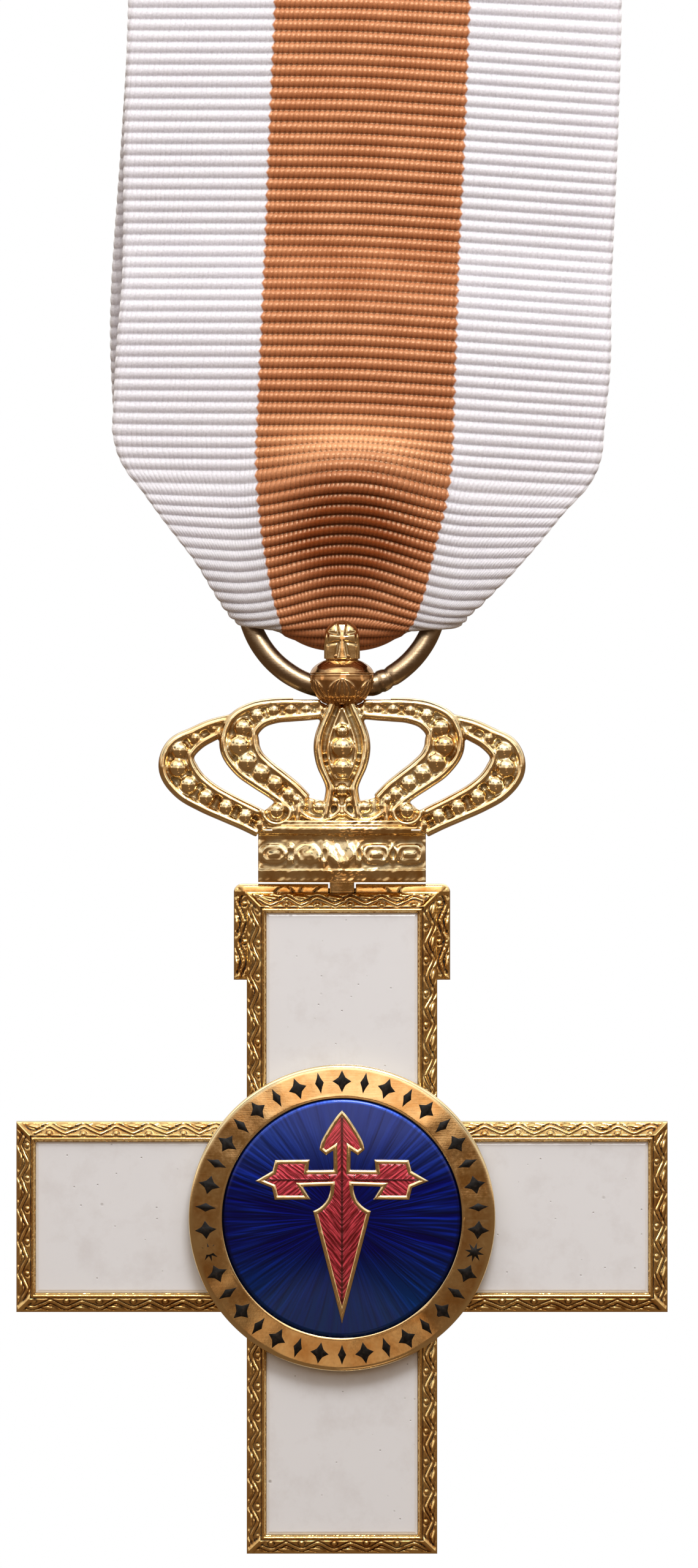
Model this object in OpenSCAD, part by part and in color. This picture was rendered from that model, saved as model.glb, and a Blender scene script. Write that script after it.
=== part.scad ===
// Long service cross on a folded ribbon, in millimetres. The front faces -Y and +Z is up.
// The origin is on the stem of the brooch pin, straight above the centre of the cross.
// Every shape is drawn about the centre of the cross, and placed() then hangs it under the pin.

/* [Hanging] */
// Height of the pin's stem above the centre of the cross
drop = 88; // [86:0.5:92]
// Height of the bar that carries the ribbon above the centre of the cross
bar_z = 80.5; // [78:0.5:81]
// Sideways place of the ribbon at the bar, because it leans a little
bar_x = 2.1; // [0:0.1:3]

/* [Cross] */
// Width over the two side arms
cross_w = 40; // [36:0.5:44]
// Length of the upper arm, from the centre
upper_arm = 19.9; // [19.9:0.1:20]
// Length of the lower arm, from the centre
lower_arm = 20.7; // [18:0.1:24]
// Width of an arm
arm_w = 11.7; // [11:0.1:12]
// Width of the gilt frame round the enamel
frame_w = 1.2; // [1:0.05:1.4]
// Width of the frame's engraved slope
slope_w = 0.85; // [0.6:0.05:0.9]
// Width of the hinge plate behind the upper arm
plate_w = 13.3; // [12.5:0.1:14]
// Height of the hinge plate
plate_h = 5.9; // [4:0.1:8]

/* [Medallion] */
// Radius of the medallion
medallion_r = 9.4; // [9.2:0.1:9.8]
// Radius of its blue field
field_r = 7.35; // [7.2:0.05:7.5]
// Number of ornaments on the band over the top, between the stars
upper_marks = 21; // [15:2:23]
// Number of ornaments on the band round the bottom, between the stars
lower_marks = 15; // [9:2:17]

/* [Ring] */
// Radius of the ring, to the middle of its wire
ring_r = 5.885; // [5.8:0.005:6]
// Radius of the ring's wire
wire_r = 0.675; // [0.55:0.005:0.7]
// Lean of the ring towards the back
ring_lean = 14; // [12:0.5:15]

/* [Ribbon] */
// Width of the flat ribbon
ribbon_w = 30; // [28:0.5:32]
// Thickness of the ribbon's wall
ribbon_t = 1; // [0.8:0.1:1]

/* [Hidden] */
$fn = 48;
gap = 0.02;                 // between a filling or a pin and the metal round it
past = 0.5;                 // how far a cut runs past the face it opens

// Depths along Y, where the front is negative
back_y = 1;                 // back of the cross
side_y = -0.35;             // front end of the frame's straight side
crest_y = -1.12;            // crest of the frame
lip_y = -0.9;               // inner edge of the frame
floor_y = -0.15;            // floor of a recess
enamel_y = -0.84;           // face of the white enamel
seat_y = -1.14;             // face of the boss that carries the medallion
band_y = -2;                // face of the medallion's band
field_floor_y = -1.5;       // floor under the blue enamel
field_edge_y = -1.93;       // face of the blue enamel at its edge
field_crown = 0.3;          // how much the blue enamel rises to its middle
outline_y = -2.26;          // face of the sword cross's outline

// Heights above the centre of the cross
plate_top = 20.46;
axis_z = 20;                // hinge pin between the crown and the cross
axis_y = 0.35;
circlet_bottom = 20.72;
circlet_top = 23.55;
ledge_top = 24.35;
bore_z = 32.42;             // middle of the ring's wire in the orb
orb_z = 32.84;
finial_top = 36.68;

// Smooth curve through the rows of a table
function row(rows, i) = rows[max(0, min(len(rows) - 1, i))];
function between(a, b, c, d, t) =
    b + ((c - a) * t + (2 * a - 5 * b + 4 * c - d) * t * t + (3 * b - a - 3 * c + d) * t * t * t) / 2;
function smooth(rows, steps) = [
    for (i = [0 : len(rows) - 2], k = [0 : steps - 1])
        between(row(rows, i - 1), rows[i], rows[i + 1], row(rows, i + 2), k / steps),
    rows[len(rows) - 1]
];
function smooth_loop(rows, steps) = [
    for (i = [0 : len(rows) - 1], k = [0 : steps - 1])
        between(rows[(i + len(rows) - 1) % len(rows)], rows[i], rows[(i + 1) % len(rows)],
            rows[(i + 2) % len(rows)], k / steps)
];

// Mitred inset of an outline that runs counterclockwise
function unit(v) = v / norm(v);
function inward(a, b) = let (d = unit(b - a)) [-d.y, d.x];
function inset(outline, d) = [
    for (i = [0 : len(outline) - 1])
        let (
            n = len(outline),
            before = inward(outline[(i + n - 1) % n], outline[i]),
            after = inward(outline[i], outline[(i + 1) % n])
        )
        outline[i] + d * (before + after) / (1 + before * after)
];

// Points of an arc, from one angle to another
function arc(centre, r, from, to, steps) = [
    for (i = [0 : steps]) let (a = from + (to - from) * i / steps) centre + r * [cos(a), sin(a)]
];

// Hangs what is drawn about the centre of the cross under the pin
module placed() {
    translate([0, 0, -drop]) children();
}

// Extrudes a front outline (x across, y up) from its front to its back
module upright(front, back) {
    translate([0, back, 0]) rotate([90, 0, 0]) linear_extrude(back - front) children();
}

// Turns a profile (x outward, y towards the front) about the middle of the medallion
module turned() {
    rotate([90, 0, 0]) rotate_extrude($fn = 96) children();
}

module rod(r, length) {
    rotate([0, 90, 0]) cylinder(r = r, h = length, center = true);
}

// Solid with mitred steps. A step is [inset of the outline, depth], from the back to the front.
// Its two ends are made of the given convex cells of the outline's corners
module stepped(outline, steps, cells = [[0, 1, 2, 3]]) {
    n = len(outline);
    last = (len(steps) - 1) * n;
    rings = [for (s = steps) for (p = inset(outline, s[0])) [p.x, s[1], p.y]];
    sides = [
        for (s = [0 : len(steps) - 2], i = [0 : n - 1])
            let (a = s * n + i, b = s * n + (i + 1) % n)
            [a, a + n, b + n, b]
    ];
    front = [for (c = cells) [for (i = [len(c) - 1 : -1 : 0]) last + c[i]]];
    polyhedron(rings, concat(cells, front, sides), convexity = 8);
}

function rectangle(x0, x1, z0, z1) = [[x0, z0], [x1, z0], [x1, z1], [x0, z1]];

// Cross

function cross_outline() = let (w = arm_w / 2, reach = cross_w / 2) [
    [-w, -lower_arm], [w, -lower_arm], [w, -w], [reach, -w], [reach, w], [w, w],
    [w, upper_arm], [-w, upper_arm], [-w, w], [-reach, w], [-reach, -w], [-w, -w]
];
// Its middle and its four arms
CROSS_CELLS = [[2, 5, 8, 11], [0, 1, 2, 11], [2, 3, 4, 5], [5, 6, 7, 8], [8, 9, 10, 11]];

boss_r = 6.4;
knuckle_w = 1.5;
knuckle_r = 0.5;
pin_r = 0.2;
running_gap = 0.1;          // beside the knuckle
notch_z = axis_z - knuckle_r - 0.15;
notch_y = axis_y - knuckle_r - 0.2;
pin_length = 5;
crown_gap = 0.05;           // round the hinge pin in the crown's knuckle

module framed_cross() {
    stepped(cross_outline(), [
        [0.2, back_y], [0, back_y - 0.2], [0, side_y], [0.12, side_y - 0.17],
        [slope_w, crest_y], [slope_w + 0.1, crest_y], [frame_w, lip_y], [frame_w, floor_y]
    ], CROSS_CELLS);
}

module hinge_plate() {
    edge = (plate_w - arm_w) / 2;
    stepped(rectangle(-plate_w / 2, plate_w / 2, plate_top - plate_h, plate_top), [
        [0.15, back_y + 0.05], [0, back_y - 0.1], [0, 0], [edge + 0.1, floor_y + 0.03]
    ]);
}

module hinge_notch() {
    w = knuckle_w + 2 * running_gap;
    translate([-w / 2, notch_y, notch_z]) cube([w, 2, 3]);
    translate([-w / 2, -3, upper_arm + 0.03]) cube([w, 6, 3]);
}

module cross_body() {
    color("goldenrod") placed() difference() {
        union() {
            framed_cross();
            upright(seat_y, 0) circle(r = boss_r);
            hinge_plate();
        }
        hinge_notch();
        translate([0, axis_y, axis_z]) rod(pin_r + gap, pin_length + 1);
    }
}

module hinge_pin() {
    color("darkgoldenrod") placed() translate([0, axis_y, axis_z]) rod(pin_r, pin_length);
}

// White enamel

inner_end = 6.85;           // hidden end of a recess, under the medallion

module enamel(outline) {
    color("whitesmoke") placed() stepped(outline, [
        [gap, floor_y], [gap, enamel_y + 0.07], [0.2, enamel_y]
    ]);
}

recess = arm_w / 2 - frame_w;

module enamel_upper() {
    enamel(rectangle(-recess, recess, inner_end, upper_arm - frame_w));
}

module enamel_lower() {
    enamel(rectangle(-recess, recess, frame_w - lower_arm, -inner_end));
}

module enamel_left() {
    enamel(rectangle(frame_w - cross_w / 2, -inner_end, -recess, recess));
}

module enamel_right() {
    enamel(rectangle(inner_end, cross_w / 2 - frame_w, -recess, recess));
}

// Medallion

wall_w = 0.28;              // gilt wall round the red enamel

// Left half of the sword cross, from the tip of the blade up to the top
function sword_half() = concat(
    [[0, -6.5]],
    arc([-2.3, 1.95], 1.59, -71, 1, 5),
    [
        [-2.37, 1.92], [-1.9, 1.14], [-4.13, 1.12], [-4.3, 1.85], [-5.33, 2.27], [-4.27, 2.9],
        [-4.1, 3.57], [-1.97, 3.6], [-2.05, 2.95], [-0.53, 2.97], [-0.55, 4.13], [-1, 3.86],
        [-1.38, 4.2], [-0.75, 5.7], [0, 6.65]
    ]
);

// The whole outline, counterclockwise
function sword() = let (half = sword_half(), n = len(half)) concat(
    [for (i = [n - 1 : -1 : 0]) half[i]],
    [for (i = [1 : n - 2]) [-half[i].x, half[i].y]]
);

star_angle = 14.5;          // of the two stars, under the horizontal
mark_r = 8.38;
mark_h = 1.3;
star_r = 0.55;
black_sink = 0.02;          // of the black filling under the band's face
red_sink = 0.04;            // of the red enamel under the blue
inlay_y = -1.75;            // floor of the band's recesses

function star_outline(r) = [
    for (i = [0 : 15]) (i % 2 == 0 ? r : 0.42 * r) * [cos(i * 22.5), sin(i * 22.5)]
];

// A wide ornament with hollow sides, or a slim lozenge
function mark_outline(wide, grow) =
    let (h = mark_h / 2 + grow, w = (wide ? 0.46 : 0.17) + grow, waist = 0.16 + grow)
    wide
        ? [
            [w, 0], [waist, waist], [0, h], [-waist, waist],
            [-w, 0], [-waist, -waist], [0, -h], [waist, -waist]
        ]
        : [[w, 0], [0, h], [-w, 0], [0, -h]];

// Ornaments and stars of the band, each grown by the same amount
module band_marks(grow) {
    span_up = 180 + 2 * star_angle;
    span_down = 180 - 2 * star_angle;
    for (side = [-star_angle, 180 + star_angle])
        rotate(side) translate([mark_r, 0]) polygon(star_outline(star_r + grow));
    for (i = [1 : upper_marks])
        rotate(-star_angle + span_up * i / (upper_marks + 1) - 90)
            translate([0, mark_r]) polygon(mark_outline(i % 2 == 1, grow));
    for (i = [1 : lower_marks])
        rotate(180 + star_angle + span_down * i / (lower_marks + 1) - 90)
            translate([0, mark_r]) polygon(mark_outline(i % 2 == 1, grow));
}

module medallion() {
    color("gold") placed() difference() {
        union() {
            turned() polygon([
                [0, -seat_y], [medallion_r - 0.2, -seat_y], [medallion_r, -seat_y + 0.15],
                [medallion_r, -band_y - 0.2], [medallion_r - 0.15, -band_y], [field_r, -band_y],
                [field_r, -field_floor_y], [0, -field_floor_y]
            ]);
            upright(outline_y, field_floor_y + 0.1) difference() {
                polygon(sword());
                polygon(inset(sword(), wall_w));
            }
        }
        upright(band_y - past, inlay_y) band_marks(gap);
    }
}

function field_face(r) = -field_edge_y + field_crown * (1 - pow(r / field_r, 2));

module field_lens(low) {
    edge = field_r - gap;
    turned() polygon(concat(
        [[0, -field_floor_y], [edge, -field_floor_y]],
        [for (i = [6 : -1 : 0]) [edge * i / 6, field_face(edge * i / 6) - low]]
    ));
}

module blue_enamel() {
    color("midnightblue") placed() difference() {
        field_lens(0);
        upright(outline_y - past, field_floor_y + past) polygon(inset(sword(), -gap));
    }
}

module red_enamel() {
    color("crimson") placed() intersection() {
        field_lens(red_sink);
        upright(outline_y - past, field_floor_y + past) polygon(inset(sword(), wall_w + gap));
    }
}

module black_enamel() {
    color("black") placed() upright(band_y + black_sink, inlay_y) band_marks(0);
}

// Crown

crown_back = 0.75;
rim_w = 0.3;                // smooth rim along an arch
rim_rise = 0.2;

// Middle lines of the left arches, from the orb to the circlet, with a row for each bead
// between the first and the last row: across, up, half width
INNER_ARCH = [
    [-1.3, 31.25, 0.66], [-2.17, 31.2, 0.7], [-3.1, 31.17, 0.74], [-4.16, 31.1, 0.78],
    [-5.22, 30.82, 0.9], [-6.1, 30.1, 1.12], [-6.3, 28.98, 1.24], [-5.78, 27.95, 1.1],
    [-4.94, 27.22, 1], [-4.1, 26.62, 0.95], [-3.3, 26, 0.92], [-2.6, 25.3, 0.9]
];
OUTER_ARCH = [
    [-6.6, 30.72, 0.5], [-7.85, 29.98, 0.66], [-9, 29.4, 0.74], [-9.93, 28.66, 1],
    [-10.1, 27.62, 1.18], [-9.45, 26.6, 1.12], [-8.35, 25.8, 0.98], [-7.1, 25.16, 0.9],
    [-5.9, 24.6, 0.86], [-4.9, 24.1, 0.85]
];
LEAF = [
    [0, 31.7, 0.95], [0, 29.9, 1.28], [0, 28.75, 1.68], [0, 27.6, 1.6], [0, 26.35, 1.08],
    [0, 25.2, 1.4]
];
// Beads of the fleurons over the circlet: across, up, radius
FLEURON_BEADS = [[-4, 24.95, 0.5], [-1.41, 25.2, 0.42], [-2.75, 25.62, 0.32]];
// Front faces of the outer arches, the inner arches and the leaf
outer_y = -0.45;
inner_y = -0.7;
leaf_y = -0.95;
steps_per_row = 3;

// Point beside a middle line, at a distance to its left
function beside(line, i, d) =
    let (a = line[max(i - 1, 0)], b = line[min(i + 1, len(line) - 1)])
    [line[i].x, line[i].y] + d * inward([a.x, a.y], [b.x, b.y]);
function strip(line) = concat(
    [for (i = [0 : len(line) - 1]) beside(line, i, -line[i].z)],
    [for (i = [len(line) - 1 : -1 : 0]) beside(line, i, line[i].z)]
);
function rim_line(line, side) = [
    for (i = [0 : len(line) - 1])
        let (p = beside(line, i, side * (line[i].z - rim_w / 2))) [p.x, p.y, rim_w / 2]
];

module bead(place, r, front) {
    translate([place.x, front + 0.1 * r, place.y]) sphere(r = r, $fn = 24);
}

// Plate of an arch with its two rims and its row of beads
module arch(rows, front) {
    line = smooth(rows, steps_per_row);
    upright(front, crown_back) polygon(strip(line));
    for (side = [-1, 1])
        upright(front - rim_rise, front + 0.1) polygon(strip(rim_line(line, side)));
    for (i = [1 : len(rows) - 2]) bead(rows[i], 0.46 * rows[i].z, front);
}

module both_sides() {
    children();
    mirror([1, 0, 0]) children();
}

// Block under the arches, with the fleurons' beads and the swags under them
module fleurons() {
    swag_r = 0.78;
    swag_w = 0.24;
    upright(leaf_y + 0.1, crown_back) polygon(concat(
        [[-4.9, circlet_top], [4.9, circlet_top], [4.6, 25.1], [3.2, 25.9], [2.1, 25.75]],
        arc([0, 26.1], 1.2, -30, -150, 6),
        [[-2.1, 25.75], [-3.2, 25.9], [-4.6, 25.1]]
    ));
    both_sides() for (b = FLEURON_BEADS) bead(b, b.z, leaf_y + 0.1);
    both_sides() for (b = [FLEURON_BEADS[0], FLEURON_BEADS[1]])
        upright(leaf_y - 0.12, leaf_y + 0.2) difference() {
            translate([b.x, b.y]) circle(r = swag_r);
            translate([b.x, b.y]) circle(r = swag_r - swag_w);
            translate([b.x - 2, b.y - 0.1]) square([4, 2]);
        }
}

// Slice of the circlet, bowed towards the front
module bowed(half_w, side_y, middle_y, bottom, top) {
    rise = side_y - middle_y;
    r = (half_w * half_w + rise * rise) / (2 * rise);
    translate([0, 0, bottom]) linear_extrude(top - bottom) intersection() {
        translate([0, middle_y + r]) circle(r = r, $fn = 96);
        translate([-half_w, middle_y - 1]) square([2 * half_w, crown_back - middle_y + 1]);
    }
}

circlet_half_w = 5.15;
circlet_side_y = -0.45;
circlet_y = -1.85;
jewel_z = 22.3;

// Stadium-shaped jewel or a pair of beads, set on the bow of the circlet
module on_circlet(x) {
    rise = circlet_side_y - circlet_y;
    r = (circlet_half_w * circlet_half_w + rise * rise) / (2 * rise);
    translate([0, circlet_y + r, jewel_z]) rotate([0, 0, asin(x / r)]) translate([0, -r, 0]) children();
}

module jewel() {
    upright(-0.16, 0.3) {
        square([0.5, 0.64], center = true);
        for (x = [-0.25, 0.25]) translate([x, 0]) circle(r = 0.32);
    }
}

module circlet() {
    bowed(circlet_half_w, circlet_side_y, circlet_y, circlet_bottom + 0.3, circlet_top);
    bowed(circlet_half_w - 0.1, circlet_side_y - 0.02, circlet_y + 0.12, circlet_bottom, circlet_top);
    bowed(circlet_half_w + 0.1, circlet_side_y - 0.12, circlet_y - 0.22, circlet_top, ledge_top - 0.3);
    bowed(circlet_half_w - 0.1, circlet_side_y, circlet_y, ledge_top - 0.4, ledge_top);
    for (x = [-4.1, -2.05, 0, 2.05, 4.1]) on_circlet(x) jewel();
    for (x = [-3.1, -1.03, 1.03, 3.1], z = [-0.4, 0.4])
        on_circlet(x) translate([0, 0.05, z]) sphere(r = 0.24, $fn = 24);
}

orb_r = 2.1;
orb_half_h = 1.5;

module orb() {
    translate([0, 0, orb_z]) rotate_extrude() polygon([
        for (i = [0 : 12]) let (a = -90 + 15 * i) [orb_r * cos(a), orb_half_h * sin(a)]
    ]);
}

finial_w = 2.2;
finial_front = -1;
finial_back = -0.2;

module finial() {
    r = finial_w / 2;
    upright(finial_front, finial_back) {
        translate([0, finial_top - r]) circle(r = r);
        translate([-r, orb_z + 0.9]) square([finial_w, finial_top - r - orb_z - 0.9]);
    }
    upright(finial_front - 0.14, finial_front + 0.1) {
        translate([-0.25, orb_z + 1.5]) square([0.5, 2.1]);
        translate([-0.8, finial_top - 1.3]) square([1.6, 0.42]);
    }
}

module knuckle() {
    translate([-knuckle_w / 2, 0, 0]) rotate([90, 0, 90]) linear_extrude(knuckle_w) {
        translate([axis_y, axis_z]) circle(r = knuckle_r);
        translate([axis_y - knuckle_r, axis_z]) square([2 * knuckle_r, 1]);
    }
}

// Bore for the ring's wire, with round mouths because the wire curves up and the crown swings
bore_gap = 0.185;
mouth_gap = 0.475;

module ring_bore() {
    translate([0, 0.03, bore_z + 0.04]) rod(wire_r + bore_gap, 6);
    for (side = [-1, 1])
        translate([side * 1.75, 0.2, bore_z + 0.28]) sphere(r = wire_r + mouth_gap);
}

module crown() {
    color("gold") placed() difference() {
        union() {
            both_sides() arch(OUTER_ARCH, outer_y);
            both_sides() arch(INNER_ARCH, inner_y);
            arch(LEAF, leaf_y);
            fleurons();
            circlet();
            orb();
            finial();
            knuckle();
        }
        ring_bore();
        translate([0, axis_y, axis_z]) rod(pin_r + crown_gap, pin_length + 1);
    }
}

// Ring, with the joint of its wire just right of the orb

joint_angle = 21;
joint_gap = 1.2;            // in degrees

module suspension_ring() {
    color("darkgoldenrod") placed() translate([0, 0, bore_z]) rotate([-ring_lean, 0, 0])
        translate([0, 0, ring_r]) rotate([90, 0, 0]) rotate([0, 0, joint_angle - 90])
            rotate_extrude(angle = 360 - joint_gap, $fn = 96) translate([ring_r, 0]) circle(r = wire_r);
}

// Brooch pin: one wire bent round at both ends, its upper run is the stem

stem_r = 0.45;
pin_half = 17;

module brooch_pin() {
    r = (drop - bar_z) / 2;
    color("silver") placed() translate([bar_x, 0, bar_z + r]) {
        for (z = [-r, r]) translate([0, 0, z]) rod(stem_r, 2 * pin_half);
        for (side = [0, 180]) rotate([0, side, 0]) translate([pin_half, 0, 0])
            rotate([90, 0, 0]) rotate([0, 0, -90])
                rotate_extrude(angle = 180) translate([r, 0]) circle(r = stem_r);
    }
}

// Ribbon: a closed loop, from the bar down the front, through the ring and up the back

bar_gap = 0.3;              // between the bar and the ribbon round it
turn_r = stem_r + bar_gap + ribbon_t / 2;
pleat_pitch = 5;            // of the waves where the ribbon is gathered

// Rows of the wall's middle: depth, up, half width as a share of the flat one, across,
// how far the edges lie behind the middle, and height of the pleats
RIBBON = concat(
    [
        [0, bar_z + turn_r, 1, bar_x, 0, 0],
        [-0.71 * turn_r, bar_z + 0.71 * turn_r, 1, bar_x, 0, 0],
        [-turn_r, bar_z, 1, bar_x, 0, 0],
        [-1.2, 74, 1, 1.9, 0, 0],
        [-1, 66, 1, 1.55, 0, 0],
        [-0.75, 57, 1, 1.15, 0, 0],
        [-0.75, 51, 1, 1, 0, 0],
        [-0.6, 47.9, 0.99, 1, 0.2, 0],
        [0.4, 45.3, 0.93, 0.95, 0.1, 0],
        [1.1, 43.2, 0.84, 0.85, -0.6, 0],
        [1.15, 41, 0.72, 0.7, -1.6, 0.05],
        [1.05, 39.2, 0.6, 0.55, -1.85, 0.15],
        [1.05, 37.6, 0.46, 0.3, -1.85, 0.28],
        [1.05, 36.4, 0.315, 0.1, -1.3, 0.3]
    ],
    [
        [1.3, 35.7, 0.272, 0, -0.3, 0.25],
        [1.85, 35.42, 0.27, 0, 0, 0.15],
        [2.4, 35.75, 0.28, 0, 0.1, 0.1]
    ],
    [
        [2.75, 36.6, 0.42, 0, 0.2, 0],
        [3, 38.2, 0.54, 0.3, 0.1, 0],
        [3.45, 40.5, 0.68, 0.5, 0, 0],
        [4.05, 43, 0.82, 0.7, 0, 0],
        [4.15, 44.8, 0.92, 0.9, 0, 0],
        [3.3, 47.9, 1, 1, 0, 0],
        [2.4, 51.5, 1, 1, 0, 0],
        [2, 57, 1, 1.15, 0, 0],
        [1.7, 66, 1, 1.55, 0, 0],
        [1.4, 74, 1, 1.9, 0, 0],
        [turn_r, bar_z, 1, bar_x, 0, 0],
        [0.71 * turn_r, bar_z + 0.71 * turn_r, 1, bar_x, 0, 0]
    ]
);
ribbon_columns = 12;
ribbon_steps = 2;

// Point of the wall: section i, column k, and which of its two faces
function wall_point(line, i, k, face) =
    let (
        n = len(line),
        s = line[i],
        a = line[(i + n - 1) % n],
        b = line[(i + 1) % n],
        across = 2 * k / ribbon_columns - 1,
        x = across * s[2] * ribbon_w / 2,
        out = inward([b[0], b[1]], [a[0], a[1]]),
        d = face * ribbon_t / 2 + s[5] * cos(360 * x / pleat_pitch)
    )
    [s[3] + x, s[0] + s[4] * across * across + d * out.x, s[1] + d * out.y];

module ribbon() {
    line = smooth_loop(RIBBON, ribbon_steps);
    n = len(line);
    c = ribbon_columns + 1;
    points = [
        for (i = [0 : n - 1], face = [-1, 1], k = [0 : ribbon_columns]) wall_point(line, i, k, face)
    ];
    // Corners of a section run round its wall
    ring = concat([for (k = [0 : c - 1]) k], [for (k = [c - 1 : -1 : 0]) c + k]);
    m = len(ring);
    faces = [
        for (i = [0 : n - 1], k = [0 : m - 1])
            let (
                near = i * 2 * c,
                far = ((i + 1) % n) * 2 * c,
                p = ring[k],
                q = ring[(k + 1) % m]
            )
            each [[near + p, near + q, far + q], [near + p, far + q, far + p]]
    ];
    color("chocolate") placed() polyhedron(points, faces, convexity = 8);
}

ribbon();
brooch_pin();
suspension_ring();
crown();
hinge_pin();
cross_body();
enamel_upper();
enamel_lower();
enamel_left();
enamel_right();
medallion();
blue_enamel();
red_enamel();
black_enamel();
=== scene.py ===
# %% [markdown]
# # A long service cross on its ribbon
#
# The object is a gilt bronze cross with enamelled arms. A round medallion sits on its middle, a cast crown
# is hinged to its top, and a ring hangs the crown from a folded ribbon. Construction lies ready as a fixed
# frame of solids. This lesson dresses that frame: cloth with real ribs, castings with soft edges, engraving
# cut as real relief, and a material for each finish. All sizes are written in millimetres about the centre
# of the cross, because that is how such a piece is measured on the bench.

import math

import bmesh
import bpy
import numpy as np
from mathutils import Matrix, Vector


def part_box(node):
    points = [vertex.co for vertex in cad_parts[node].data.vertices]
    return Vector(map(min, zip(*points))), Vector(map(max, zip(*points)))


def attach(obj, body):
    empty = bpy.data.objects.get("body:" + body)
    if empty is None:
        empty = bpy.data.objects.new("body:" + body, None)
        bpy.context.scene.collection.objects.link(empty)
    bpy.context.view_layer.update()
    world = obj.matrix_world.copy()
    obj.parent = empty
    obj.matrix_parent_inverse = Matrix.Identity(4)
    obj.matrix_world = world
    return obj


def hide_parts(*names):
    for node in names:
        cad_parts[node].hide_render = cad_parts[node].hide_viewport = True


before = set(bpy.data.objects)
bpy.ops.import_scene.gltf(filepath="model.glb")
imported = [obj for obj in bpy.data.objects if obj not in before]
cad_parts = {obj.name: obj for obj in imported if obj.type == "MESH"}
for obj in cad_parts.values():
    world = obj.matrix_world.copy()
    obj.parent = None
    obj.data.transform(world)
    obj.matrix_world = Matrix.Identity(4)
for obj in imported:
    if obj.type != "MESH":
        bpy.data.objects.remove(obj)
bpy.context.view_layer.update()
MM = 0.001
medallion_low, medallion_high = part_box("medallion")
HEART = Vector((0, 0, (medallion_low.z + medallion_high.z) / 2))


def solid_corners(node):
    """Lowest and highest corner of a solid, in millimetres about the centre of the cross."""
    return [np.array((corner - HEART) / MM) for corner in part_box(node)]


print("solids:", sorted(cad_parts))
print("centre of the cross at", [round(c / MM, 2) for c in HEART], "mm")

# %% [markdown]
# ## The camera
#
# The cross was photographed straight from the front with a long lens, so parallel edges stay parallel. A
# long lens from 60 cm does the same here. The framing follows from two real lengths: the picture is
# 96.4 mm high at the object, and its middle lies a little right of the cross and above it.

# %% Camera
PICTURE_HEIGHT = 96.4
PICTURE_MIDDLE = (0.43, 26.6)
CAMERA_DISTANCE = 600

camera = bpy.data.objects.new("camera", bpy.data.cameras.new("camera"))
bpy.context.scene.collection.objects.link(camera)
bpy.context.scene.camera = camera
camera.data.lens = camera.data.sensor_width * CAMERA_DISTANCE / PICTURE_HEIGHT
camera.location = HEART + MM * Vector((PICTURE_MIDDLE[0], -CAMERA_DISTANCE, PICTURE_MIDDLE[1]))
camera.rotation_euler = (math.radians(90), 0, 0)
camera.data.clip_start = 0.05
print("lens of", round(camera.data.lens), "mm")

# %% [markdown]
# ## Nodes and colours
#
# Every finish below is a small network of nodes. What a node gives is wrapped as a value that adds and
# multiplies like a number, so a network reads like a formula. Colours are picked as sRGB hex values, the
# way a colour picker shows them, and one function turns them into the linear light that the renderer adds
# up.

# %% Helpers for nodes and colours
def srgb(code):
    """Linear colour of an sRGB hex value."""
    parts = [int(code[i:i + 2], 16) / 255 for i in (1, 3, 5)]
    return (*[p / 12.92 if p <= 0.04045 else ((p + 0.055) / 1.055) ** 2.4 for p in parts], 1)


def feed(node, inputs):
    """Gives each named or numbered input of a node a plain value, or what another node gives."""
    for name, value in inputs.items():
        if isinstance(value, Value):
            node.id_data.links.new(value.socket, node.inputs[name])
        else:
            node.inputs[name].default_value = value


def add(tree, kind, inputs=None, output=0, **settings):
    """Adds a node and gives the value of one of its outputs."""
    node = tree.nodes.new("ShaderNode" + kind)
    for name, value in settings.items():
        setattr(node, name, value)
    feed(node, inputs or {})
    return Value(node, output)


class Value:
    """What a node gives at each point: a number, a vector, a colour or a shader."""

    def __init__(self, node, output=0):
        self.node = node
        self.tree = node.id_data
        self.socket = node.outputs[output] if node.outputs else None

    def calc(self, operation, *others, **settings):
        """Result of a mathematical operation on it and other numbers."""
        return add(self.tree, "Math", dict(enumerate((self, *others))), operation=operation, **settings)

    def __add__(self, other):
        return self.calc("ADD", other)

    def __sub__(self, other):
        return self.calc("SUBTRACT", other)

    def __mul__(self, other):
        return self.calc("MULTIPLY", other)

    def __abs__(self):
        return self.calc("ABSOLUTE")

    def vector(self, operation, inputs=None, output=0):
        """Result of an operation on vectors."""
        return add(self.tree, "VectorMath", {0: self, **(inputs or {})}, output, operation=operation)

    def parts(self):
        """The three parts of a vector."""
        return [add(self.tree, "SeparateXYZ", {0: self}, part) for part in "XYZ"]

    def ramp(self, low, high, start=0.0, end=1.0, **settings):
        """Ramp from start at low to end at high, straight unless the settings say otherwise."""
        inputs = {"Value": self, "From Min": low, "From Max": high, "To Min": start, "To Max": end}
        return add(self.tree, "MapRange", inputs, **settings)

    def mix(self, first, second):
        """Colour between two colours, each a hex value or another node's."""
        first, second = (srgb(c) if isinstance(c, str) else c for c in (first, second))
        return add(self.tree, "Mix", {0: self, 6: first, 7: second}, 2, data_type="RGBA")


print("gold in linear light:", [round(c, 3) for c in srgb("#d9a441")])

# %% [markdown]
# ## Light
#
# Polished metal shows its surroundings more than its own colour. In a photographer's light tent the upper
# half is bright cloth, and below it lies the darker table. That is why the gilding looks pale yellow where
# it faces up and dark brown where it faces down. A world with a bright top, a dark bottom and a few soft
# cards gives those reflections. What the camera sees behind the object is plain white.

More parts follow.
